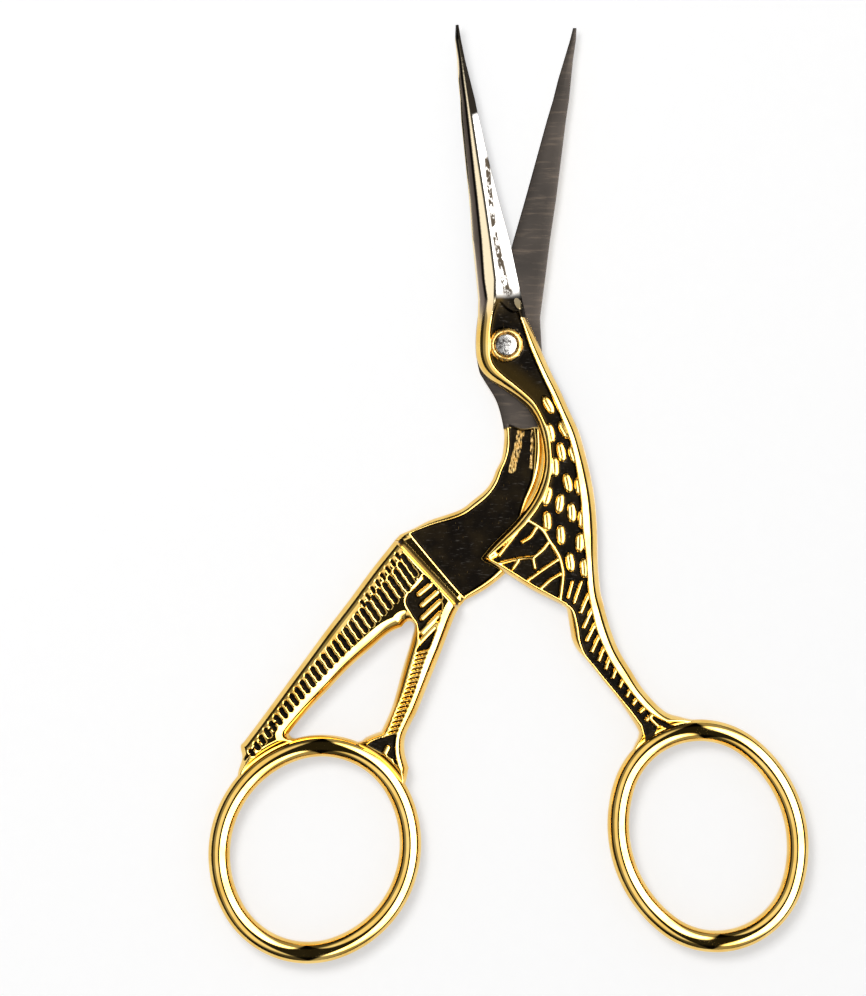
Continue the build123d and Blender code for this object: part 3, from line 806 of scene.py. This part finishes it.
# Rows of cuts down the outer leg
CUT_DEPTH = 0.34
CUT_EDGE = (0, 0.75)
# CUT_DARK: where the cuts are painted black as shade
CUT_DARK = (0.45, 0.85)
SLOT_LINE = [(409, 565), (404, 577), (392, 590), (330, 657), (300, 692), (275, 723), (252, 752)]
SLOT_STEP = 0.02
SLOT_COUNT = 30
SLOT_LENGTHS = (2.7, 0.9)
SLOT_WIDTH = 0.52
SLOT_WAY = (16, -23)
NARROW_LINE = [(398, 556), (363, 603)]
NARROW_COUNT = 8
NARROW_SIZE = (0.8, 0.36)
HATCH = [(247, 757), (254, 748), (261.5, 739), (269, 730), (277, 721)]
HATCH_SIZE = (0.8, 0.26)
HATCH_SHARE = 0.75

# Ridges on the thigh and claw, and ribs down the inner leg
RIDGE_RISE = 0.36
RIDGE_WIDTH = 0.62
RIDGE_BARE = (0.25, 0.7)
THIGH_RIDGES = [
    [(421, 578), (410, 590)], [(430, 585), (419, 594)], [(437, 592), (422, 605)], [(440, 601),
    (422, 618)], [(440, 613), (422, 632)], [(437, 624), (417, 645)]
]
LEG_CLAW = [[(366, 747), (377, 753), (391, 760)], [(388, 747), (384, 755)], [(384, 755), (392, 766)]]
LEG_RIBS = [(421, 652), (389, 734)]
LEG_RIB_COUNT = 18
LEG_RIB_WAY = (1, 0.25)
LEG_RIB_REACH = 0.75
LEG_RIB_WIDTH = 0.34
SHIN_SLOPE = 0.18
# SHIN_DARK: where the sunk shin is painted black as shade
SHIN_DARK = (0.04, 0.14)
SHIN_LEAST = 0.05
LEG_RIGHT_FIELD = [
    [(414, 583), (424, 574), (433, 582), (441, 592), (442.5, 603), (440, 620), (433, 640), (425, 660),
    (415, 690), (405, 715), (397, 735), (396, 752), (399, 766)], [(399, 766), (388, 760), (372, 752),
    (362, 747), (372, 740), (384, 735), (389, 728), (395, 712), (404, 690), (413, 660), (418, 640),
    (417, 625), (411, 614), (405, 600), (414, 583)]
]

# Under the back blade, as shares of its width from the cutting edge: the bevel's border,
# the strip's border, and the width over which bare metal gives way to gilding
BACK_BEVEL_SHARE = 0.6
BACK_STRIP_SHARE = 0.82
BACK_LINE_SHARE = 0.03
BACK_LINE_STEP = 0.3
BACK_MERGE_ROWS = (296, 330)

# The pivot: a riveted end in front and a slotted head behind, sunk in the leg half. The
# end is given as radius and height
SCREW_STEPS = 72
SCREW_RADIUS = 1.075
HEAD_RADIUS = 1.95
HEAD_INSET = 0.1
HEAD_RUN = 0.03
HEAD_BREAK = 0.03
HEAD_TOP = 0.98
SINK_RADIUS = HEAD_RADIUS + HEAD_INSET + HEAD_RUN
SINK_DEPTH = 0.95
SINK_LINES = (0.05, 0, -0.1, -SINK_DEPTH)
SLOT_SIZE = (0.45, 0.35)
END_START = 2.7
RIVETED_END = [
    (0, 3.2), (0.25, 3.195), (0.5, 3.18), (0.75, 3.15), (0.95, 3.1), (1.04, 3.05), (1.09, 2.98),
    (1.1, 2.9)
]
SHARP_ANGLE = 50
SAME_PLACE = 1e-7


def back_line(share):
    """A line down the back blade, at a share of its width from the cutting edge."""
    columns = np.array(BACK_EDGE) + share * (np.array(BACK_SPINE) - np.array(BACK_EDGE))
    return blade_line(columns[1:], BACK_ROWS[1:], BACK_LINE_STEP)


def back_blade_height(q):
    """Facets under the back blade: bevel, spine strip and side."""
    rows = rows_of(q)
    edge, spine = [at_rows(rows, line, BACK_ROWS) for line in (BACK_EDGE, BACK_SPINE)]
    share = np.clip((q[:, 0] - edge) / (spine - edge), 0, 1)
    thick, land, side = [taper(rows, h) for h in (CREST_HEIGHTS, LAND_HEIGHTS, SIDE_HEIGHTS)]
    z = np.where(share < BACK_BEVEL_SHARE, LAP - land - (thick - land) * share / BACK_BEVEL_SHARE,
                 LAP - thick)
    past = np.clip((share - BACK_STRIP_SHARE) / (1 - BACK_STRIP_SHARE), 0, 1)
    z = z + (thick - side) * past
    return z, 1 - ease(share, BACK_BEVEL_SHARE - BACK_LINE_SHARE, BACK_BEVEL_SHARE)


def unit(x, y):
    """A direction of length 1."""
    return np.array([x, y], float) / math.hypot(x, y)


def bar(q, centre, way, size):
    """1 well inside a bar with round ends, 0 outside."""
    half = way * (size[0] - size[1]) / 2
    return ease(stroke(q, np.array([centre - half, centre + half]), size[1]), *CUT_EDGE)


def leg_cuts(q):
    """Depth of the rows of cuts down the outer leg, as a share of the full depth."""
    cut = 0
    line = curve(SLOT_LINE, SLOT_STEP)
    way = unit(*SLOT_WAY)
    picks = np.linspace(0, len(line) - 1, SLOT_COUNT).astype(int)
    for pick, length in zip(picks, np.linspace(*SLOT_LENGTHS, SLOT_COUNT)):
        cut = np.maximum(cut, bar(q, line[pick], way, (length, SLOT_WIDTH)))
    for centre in np.linspace(*mm(NARROW_LINE), NARROW_COUNT):
        cut = np.maximum(cut, bar(q, centre, way, NARROW_SIZE))
    along = unit(*(line[-1] - line[len(line) // 2]))
    for centre in mm(HATCH):
        cut = np.maximum(cut, HATCH_SHARE * bar(q, centre, along, HATCH_SIZE))
    return cut


def leg_ridges(q):
    """Height of the ridges on the thigh and claw and the ribs down the inner leg, 0 to 1."""
    ridge = strokes(q, [(line, RIDGE_WIDTH) for line in THIGH_RIDGES + LEG_CLAW])
    reach = unit(*LEG_RIB_WAY) * LEG_RIB_REACH
    for centre in np.linspace(*mm(LEG_RIBS), LEG_RIB_COUNT):
        line = np.array([centre - reach, centre + reach])
        ridge = np.maximum(ridge, stroke(q, line, LEG_RIB_WIDTH))
    return ridge


def leg_top(q, d):
    """Heights and masks of the back half's upper face."""
    foot, foot_end = mm(STEP_FOOT)
    # How far each point lies past the step's foot, on the legs' side, and along it
    down = unit(*(foot_end - foot))
    past = (q[:, 0] - foot[0]) * down[1] - (q[:, 1] - foot[1]) * down[0]
    run = (q - foot) @ down
    f, s = signed(q, loop_of(*BODY_FIELD)), signed(q, loop_of(*LEG_RIGHT_FIELD))
    cut, ridge = leg_cuts(q), leg_ridges(q)
    body = LAP - BODY_DEPTH * ease(f, 0, RELIEF_SLOPE)
    sunk = RELIEF * ease(s, 0, SHIN_SLOPE)
    sunk = sunk - RIDGE_RISE * ridge * (sunk > SHIN_LEAST)
    legs = TOP - np.maximum(CUT_DEPTH * cut, sunk)
    step = np.clip((past - SLOPE_START) / (SLOPE_END - SLOPE_START), 0, 1)
    on_leg = past > LEG_START
    rim = np.where(on_leg, np.clip(d - s, *LEG_RIM_WIDTHS), np.clip(d - f, *BODY_RIM_WIDTHS))
    lap = 1 - ease(rows_of(q) + np.sin(q[:, 0] * LAP_WAVE), *LAP_ROWS)
    drop = np.where(on_leg, EDGE_DROP, BODY_EDGE_DROP) * (1 - LAP_FLAT_SHARE * lap)
    z = body + (legs - body) * step - rounding(d, rim, drop)
    teeth = np.sin(run * TOOTH_WAVES[0]) + np.sin(run * TOOTH_WAVES[1] + TOOTH_SHIFT)
    teeth = past + TOOTH_REACH + TOOTH_SIZE * teeth
    # Painted shade: the body's sunk field, the shins, the cuts and a band on the step's slope are
    # painted black, standing in for the dark reflection these recesses show
    low_body = ease(f, *BODY_DARK) * (1 - ease(teeth, *TOOTH_BORDER))
    low_shin = ease(s, *SHIN_DARK) * (1 - ease(ridge, *RIDGE_BARE))
    low_legs = (past > LEG_DARK_START) * np.maximum(ease(cut, *CUT_DARK), low_shin)
    # A band of painted shade on the step's slope, which also carries the painted olive sheen
    slope = band(past, *SLOPE_DARK) * ease(d, *SLOPE_RIM)
    painted_shade = np.maximum(np.maximum(low_body, low_legs), slope)
    # Painted sheen: light streaks in the painted shade of the body
    streak = ease(strokes(q, STREAKS), *STREAK_EDGE)
    return under_wire(q, z, LEG_RING), {
        "painted_shade": painted_shade * (1 - lap),
        "lapped": lap,
        "wear_and_sheen": streak * low_body * STREAK_SHARE,
        "olive": slope,
    }


def leg_bottom(q, d):
    """Heights and masks of the back half's lower face."""
    blade, bevel = back_blade_height(q)
    share = ease(rows_of(q), *BACK_MERGE_ROWS)
    z = blade + (rounding(d, BACK_ROUND, BACK_ROUND) - blade) * share
    sink = np.clip(SINK_RADIUS - np.hypot(*q.T), 0, SINK_DEPTH)
    return np.maximum(z, sink), {"nickel": bevel * (1 - share)}


def leg_casting():
    """Back half: blade, body plate and the two legs."""
    spine = blade_line(BACK_SPINE, BACK_ROWS)
    edge = blade_line(BACK_EDGE, BACK_ROWS)[::-1]
    outline = loop_of(spine, LEG_RIGHT, LEG_OUTER, LEG_FOOT, LEG_FRONT, LEG_BREAST, edge)
    shares = (BACK_BEVEL_SHARE - BACK_LINE_SHARE, BACK_BEVEL_SHARE, BACK_STRIP_SHARE)
    low_lines = [back_line(share) for share in shares]
    low_lines += [circle(SINK_RADIUS + reach) for reach in SINK_LINES]
    loops = [outline[::-1], loop_of(*HOLE)]
    return casting("leg_casting", loops, leg_top, leg_bottom, low_lines=low_lines)


def rivet():
    """A turned screw: profile spun about the pivot's axis."""
    profile = RIVETED_END + [
        (SCREW_RADIUS, END_START), (SCREW_RADIUS, HEAD_TOP),
        (HEAD_RADIUS, HEAD_INSET + HEAD_BREAK), (HEAD_RADIUS - HEAD_BREAK, HEAD_INSET),
        (0, HEAD_INSET),
    ]
    work = bmesh.new()
    verts = [work.verts.new((r * MM, 0, z * MM)) for r, z in profile]
    edges = [work.edges.new(pair) for pair in zip(verts, verts[1:])]
    bmesh.ops.spin(work, geom=verts + edges, cent=(0, 0, 0), axis=(0, 0, 1), steps=SCREW_STEPS,
                   angle=2 * math.pi)
    bmesh.ops.remove_doubles(work, verts=work.verts, dist=SAME_PLACE)
    bmesh.ops.recalc_face_normals(work, faces=work.faces)
    rivet = finished("pivot_rivet", work)
    work = bmesh.new()
    bmesh.ops.create_cube(work, size=MM)
    bmesh.ops.scale(work, vec=(3 * HEAD_RADIUS, SLOT_SIZE[0], 2 * SLOT_SIZE[1]), verts=work.verts)
    bmesh.ops.translate(work, vec=(0, 0, HEAD_INSET * MM), verts=work.verts)
    cutter = finished("slot_cutter", work, smooth=False)
    cut = rivet.modifiers.new("slot", "BOOLEAN")
    cut.object = cutter
    cut.solver = "EXACT"
    graph = bpy.context.evaluated_depsgraph_get()
    slotted = bpy.data.meshes.new_from_object(rivet.evaluated_get(graph))
    rivet.modifiers.clear()
    slotted.set_sharp_from_angle(angle=math.radians(SHARP_ANGLE))
    rivet.data = slotted
    bpy.data.objects.remove(cutter)
    return rivet


# Materials

GOLD_LIGHT = (0.92, 0.64, 0.20)
GOLD_DEEP = (0.80, 0.49, 0.10)
GOLD_STOPS = [(0.3, GOLD_DEEP), (0.65, GOLD_LIGHT)]
PALE_GOLD = (0.90, 0.76, 0.52)
# Black and brown of the painted shade in the recesses; the black also paints the blade's dark
# reflections
SHADE_BLACK = (0.005, 0.004, 0.003)
SHADE_BROWN = (0.014, 0.010, 0.005)
# Colour of the painted olive sheen
OLIVE = (0.022, 0.014, 0.004)
HAIRLINE = (0.05, 0.045, 0.04)
# Worn gold round the pivot, also used for the painted sheen streaks on the leg's body
WEAR_AND_SHEEN_LOW = (0.45, 0.24, 0.05)
WEAR_AND_SHEEN_HIGH = (0.95, 0.68, 0.28)
STEEL = (0.05, 0.042, 0.036)
STEEL_DARK = (0.03, 0.026, 0.023)
STEEL_GRAIN = (0.13, 0.10, 0.075)
NICKEL = (0.85, 0.82, 0.78)
NICKEL_SHADE = (0.5, 0.46, 0.4)
SCUFF = (0.022, 0.017, 0.012)
TAUPE = (0.30, 0.24, 0.20)
RIVET_MARK = (0.05, 0.045, 0.04)
RIVET_STEEL = (0.45, 0.44, 0.42)
PAPER_LOW = (0.80, 0.80, 0.80)
PAPER_HIGH = (0.82, 0.82, 0.82)
FLOOR_GLOW = 0.52


class Nodes:
    """Short hand for the node tree of a material or of the world."""

    def __init__(self, owner):
        self.owner = owner
        owner.use_nodes = True
        self.tree = owner.node_tree

    def feed(self, value, socket):
        """A value, a colour or another node's output into an input."""
        if isinstance(value, bpy.types.NodeSocket):
            self.tree.links.new(value, socket)
        elif socket.type == "RGBA":
            socket.default_value = (*value, 1)
        else:
            socket.default_value = value

    def put(self, node, **values):
        """A node with these options and inputs."""
        for key, value in values.items():
            if hasattr(node, key):
                setattr(node, key, value)
            else:
                self.feed(value, node.inputs[key.replace("_", " ")])
        return node

    def node(self, kind, **values):
        return self.put(self.tree.nodes.new(kind), **values)

    def finish(self, **values):
        """The material, with these inputs in its shader."""
        self.put(self.tree.nodes["Principled BSDF"], **values)
        return self.owner

    def noise(self, scale, detail, stretch=(1, 1, 1), turn=0.0, rough=0.5):
        """Noise over the object's coordinates, stretched and turned about Z."""
        coords = self.node("ShaderNodeTexCoord").outputs["Object"]
        mapping = self.node("ShaderNodeMapping", Vector=coords, Scale=stretch,
                            Rotation=(0, 0, math.radians(turn)))
        made = self.node("ShaderNodeTexNoise", Vector=mapping.outputs["Vector"], Scale=scale,
                         Detail=detail, Roughness=rough)
        return made.outputs["Fac"]

    def ramp(self, value, stops):
        """Colours over a value, from pairs of position and colour."""
        made = self.node("ShaderNodeValToRGB", Fac=value)
        elements = made.color_ramp.elements
        while len(elements) < len(stops):
            elements.new(0.5)
        for element, (position, colour) in zip(elements, stops):
            element.position = position
            element.color = (*colour, 1)
        return made.outputs["Color"]

    def grey(self, value, low, high, start=0.0, end=1.0, kind="LINEAR"):
        """A value mapped from start..end to low..high."""
        made = self.node("ShaderNodeMapRange", interpolation_type=kind, Value=value,
                         From_Min=start, From_Max=end, To_Min=low, To_Max=high)
        return made.outputs["Result"]

    def math(self, kind, a, b=0.0):
        made = self.node("ShaderNodeMath", operation=kind)
        self.feed(a, made.inputs[0])
        self.feed(b, made.inputs[1])
        return made.outputs["Value"]

    def mix(self, factor, a, b, kind="RGBA"):
        """Colours mixed by a factor, or plain values where the kind is VALUE."""
        made = self.node("ShaderNodeMix", data_type=kind.replace("VALUE", "FLOAT"),
                         clamp_factor=True)
        self.feed(factor, made.inputs[0])
        sockets = [s for s in made.inputs if s.type == kind and s.name in ("A", "B")]
        self.feed(a, sockets[0])
        self.feed(b, sockets[1])
        return [s for s in made.outputs if s.type == kind][0]

    def mask(self, name):
        """One of the masks that a casting's mesh carries."""
        return self.node("ShaderNodeAttribute", attribute_name=name).outputs["Fac"]

    def bump(self, height, distance, strength):
        made = self.node("ShaderNodeBump", Height=height, Distance=distance, Strength=strength)
        return made.outputs["Normal"]


def casting_material():
    """Polished gold with black painted shade in the recesses, nickel bevels and ground steel faces."""
    m = Nodes(bpy.data.materials.new("gilded_casting"))
    broad = m.noise(450, detail=4)
    fine = m.noise(5200, detail=3, rough=0.6)
    scratch = m.noise(900, detail=2, stretch=(1, 14, 1), turn=18)

    # Gold, and black painted shade with brown, hairlines and a painted olive sheen where the mask of
    # painted shade is
    gold = m.mix(m.mask("pale"), m.ramp(broad, GOLD_STOPS), PALE_GOLD)
    ragged = m.math("ADD", m.mask("painted_shade"), m.grey(fine, -0.12, 0.12))
    black = m.grey(ragged, 0, 1, 0.38, 0.62)
    painted_black = m.ramp(broad, [(0.42, SHADE_BLACK), (0.75, SHADE_BROWN)])
    hairs = m.noise(1300, detail=4, stretch=(1, 7, 1), turn=62, rough=0.6)
    painted_black = m.mix(m.grey(hairs, 0, 0.8, 0.6, 0.72), painted_black, HAIRLINE)
    painted_black = m.mix(m.mask("olive"), painted_black, OLIVE)
    colour = m.mix(black, gold, painted_black)

    # Worn gold round the pivot, and painted sheen: light streaks in the painted shade of the leg's body
    wear = m.grey(m.noise(7000, detail=4, stretch=(1, 0.3, 1)), -0.4, 0.4, 0.3, 0.7)
    bright = m.grey(m.math("ADD", m.mask("wear_and_sheen"), wear), 0, 1, 0.38, 0.7)
    colour = m.mix(bright, colour, m.ramp(fine, [(0.4, WEAR_AND_SHEEN_LOW), (0.7, WEAR_AND_SHEEN_HIGH)]))

    # Ground steel, the blade's side and its bevel with scuffs, and the painted dark reflections along
    # the blade's lines
    grain = m.noise(2600, detail=4, stretch=(0.12, 1, 1), turn=-12, rough=0.65)
    coarse = m.noise(260, detail=3, stretch=(0.6, 1, 1))
    steel = m.mix(m.grey(coarse, 0, 1, 0.3, 0.7), STEEL_DARK, STEEL)
    steel = m.mix(m.grey(grain, 0, 0.5, 0.52, 0.78), steel, STEEL_GRAIN)
    lapped, side = m.mask("lapped"), m.mask("side")
    colour = m.mix(side, m.mix(lapped, colour, steel), TAUPE)
    nickel = m.ramp(scratch, [(0.25, NICKEL_SHADE), (0.5, NICKEL)])
    colour = m.mix(m.mask("nickel"), colour, nickel)
    marks = m.noise(2400, detail=4, stretch=(1, 0.5, 1), rough=0.7)
    marks = m.math("MULTIPLY", m.mask("scuffed"), m.grey(marks, 0, 1, 0.33, 0.5))
    colour = m.mix(m.mask("dark"), m.mix(marks, colour, SCUFF), SHADE_BLACK)

    rough = m.grey(broad, 0.04, 0.08, 0.3, 0.7)
    for factor, value in ((side, 0.4), (black, 0.34), (bright, 0.3), (lapped, 0.48)):
        rough = m.mix(factor, rough, value, "VALUE")
    pits = m.mix(lapped, m.grey(scratch, 0, 0.15), grain, "VALUE")
    pits = m.bump(m.mix(black, pits, fine, "VALUE"), distance=0.00001, strength=0.5)
    return m.finish(Base_Color=colour, Metallic=1, Roughness=rough, Normal=pits)


def ring_material():
    """Polished gold wire with faint polishing lines."""
    m = Nodes(bpy.data.materials.new("gilded_wire"))
    broad = m.noise(420, detail=4)
    scratch = m.noise(1500, detail=3, stretch=(1, 6, 3), turn=35)
    return m.finish(Base_Color=m.ramp(broad, GOLD_STOPS), Metallic=1,
                    Roughness=m.grey(broad, 0.03, 0.07, 0.3, 0.7),
                    Normal=m.bump(scratch, distance=0.000004, strength=0.4))


def rivet_material():
    """Peened steel, bright, with small dark marks."""
    m = Nodes(bpy.data.materials.new("rivet_steel"))
    marks = m.noise(1700, detail=5, rough=0.7)
    return m.finish(Base_Color=m.ramp(marks, [(0.42, RIVET_MARK), (0.56, RIVET_STEEL)]),
                    Metallic=1, Roughness=m.grey(marks, 0.35, 0.16),
                    Normal=m.bump(marks, distance=0.00006, strength=0.7))


def floor_material():
    """White paper that keeps the object's soft shadow."""
    m = Nodes(bpy.data.materials.new("white_paper"))
    # Its glow is seen by the camera and in reflections, and it doesn't light the object
    path = m.node("ShaderNodeLightPath").outputs
    seen = m.math("MAXIMUM", path["Is Camera Ray"], path["Is Glossy Ray"])
    seen = m.math("MAXIMUM", seen, path["Is Transmission Ray"])
    seen = m.math("MAXIMUM", m.math("SUBTRACT", seen, path["Diffuse Depth"]), 0.0)
    paper = m.ramp(m.noise(800, detail=3), [(0.3, PAPER_LOW), (0.7, PAPER_HIGH)])
    return m.finish(Base_Color=paper, Roughness=0.9, Specular_IOR_Level=0.1,
                    Emission_Color=(1, 1, 1), Emission_Strength=m.math("MULTIPLY", seen, FLOOR_GLOW))


def dress(piece, material, body, slot, *nodes):
    """A piece's material, and its body and CAD node in the frame. The slot is not used."""
    piece.data.materials.clear()
    piece.data.materials.append(material)
    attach(piece, body)
    if nodes:
        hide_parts(*nodes)


casting_look = casting_material()
ring_look = ring_material()

dress(neck_casting(), casting_look, "neck", "gilding", "neck_half")
dress(leg_casting(), casting_look, "legs", "gilding", "leg_half")
dress(finger_ring("neck_ring", *NECK_RING), ring_look, "neck", "gilding")
dress(finger_ring("leg_ring", *LEG_RING), ring_look, "legs", "gilding")
dress(rivet(), rivet_material(), "neck", "bare_steel", "pivot_screw")


# Floor, lights, world and camera, in metres

FLOOR_SIZE = 1.5
FLOOR_CELLS = 8
FLOOR_DROP = 0.00002
LAMP_PLACE = (-0.13, 0.15, 0.5)
LAMP_AIM = (0, -0.02, 0)
LAMP_SIZE = 0.2
LAMP_POWER = 1.2
LENS_MM = 200.0
SENSOR_MM = 36.0
CLIP = (0.01, 10)

# The studio's light by degrees from the zenith towards the right, how it falls off
# towards the near and far ends, and the even light on everything that isn't a reflection
STUDIO_LEVELS = [
    (-90, 0.03), (-66, 0.03), (-61, 0.32), (-45, 0.34), (-40, 1.15), (-12, 1.15), (-9, 0.02), (5, 0.02),
    (10, 6.5), (64, 6.5), (69, 0.02), (90, 0.05)
]
STUDIO_FALL = (0.55, 0.8)
STUDIO_END_LEVEL = 0.06
WORLD_LEVEL = 0.27


def floor():
    """A sheet of paper just below the object, outside the part."""
    work = bmesh.new()
    bmesh.ops.create_grid(work, x_segments=FLOOR_CELLS, y_segments=FLOOR_CELLS,
                          size=FLOOR_SIZE / 2)
    sheet = finished("floor_sheet", work)
    sheet.location.z = -FLOOR_DROP
    sheet.data.materials.append(floor_material())


def world():
    """A studio: a bright panel on the right, a dim one on the left, dark overhead."""
    made = bpy.data.worlds.new("studio")
    bpy.context.scene.world = made
    w = Nodes(made)
    coords = w.node("ShaderNodeTexCoord").outputs["Generated"]
    way = w.node("ShaderNodeSeparateXYZ", Vector=coords).outputs
    # Angle from the zenith towards the right, as a share of a half turn about 0.5
    angle = w.math("ARCTAN2", way["X"], way["Z"])
    share = w.math("ADD", w.math("DIVIDE", angle, math.pi), 0.5)
    panels = w.ramp(share, [(0.5 + lean / 180, (level,) * 3) for lean, level in STUDIO_LEVELS])
    fall = w.grey(w.math("ABSOLUTE", way["Y"]), 1, STUDIO_END_LEVEL, *STUDIO_FALL, "SMOOTHSTEP")
    studio = w.put(w.tree.nodes["Background"], Color=panels, Strength=fall)
    even_light = w.node("ShaderNodeBackground", Strength=WORLD_LEVEL)
    # Only reflections show the studio, and not those seen by way of a dull surface
    path = w.node("ShaderNodeLightPath").outputs
    first = w.math("SUBTRACT", 1.0, w.math("MINIMUM", path["Diffuse Depth"], 1.0))
    shown = w.math("MULTIPLY", path["Is Glossy Ray"], first)
    choice = w.node("ShaderNodeMixShader", Fac=w.math("SUBTRACT", 1.0, shown))
    w.feed(studio.outputs[0], choice.inputs[1])
    w.feed(even_light.outputs[0], choice.inputs[2])
    w.put(w.tree.nodes["World Output"], Surface=choice.outputs[0])


def camera():
    """Straight down over the picture's middle, with a long lens."""
    middle = mm([(IMAGE_PX[0] / 2, IMAGE_PX[1] / 2)])[0]
    reach = IMAGE_PX[1] * MM_PER_PX * LENS_MM / SENSOR_MM
    data = bpy.data.cameras.new("camera")
    data.lens = LENS_MM
    data.sensor_width = SENSOR_MM
    data.clip_start, data.clip_end = CLIP
    view = bpy.data.objects.new("camera", data)
    view.location = (middle[0] * MM, middle[1] * MM, (reach + TOP / 2) * MM)
    bpy.context.collection.objects.link(view)
    bpy.context.scene.camera = view


def lamp():
    """A square lamp above the upper left, which reflections don't show."""
    data = bpy.data.lights.new("key", "AREA")
    data.shape = "RECTANGLE"
    data.size = data.size_y = LAMP_SIZE
    data.energy = LAMP_POWER
    made = bpy.data.objects.new("key", data)
    made.location = LAMP_PLACE
    aim = Vector(LAMP_AIM) - Vector(LAMP_PLACE)
    made.rotation_euler = aim.to_track_quat("-Z", "Y").to_euler()
    made.visible_glossy = False
    bpy.context.collection.objects.link(made)


floor()
world()
camera()
lamp()
bpy.context.scene.view_settings.view_transform = "Standard"
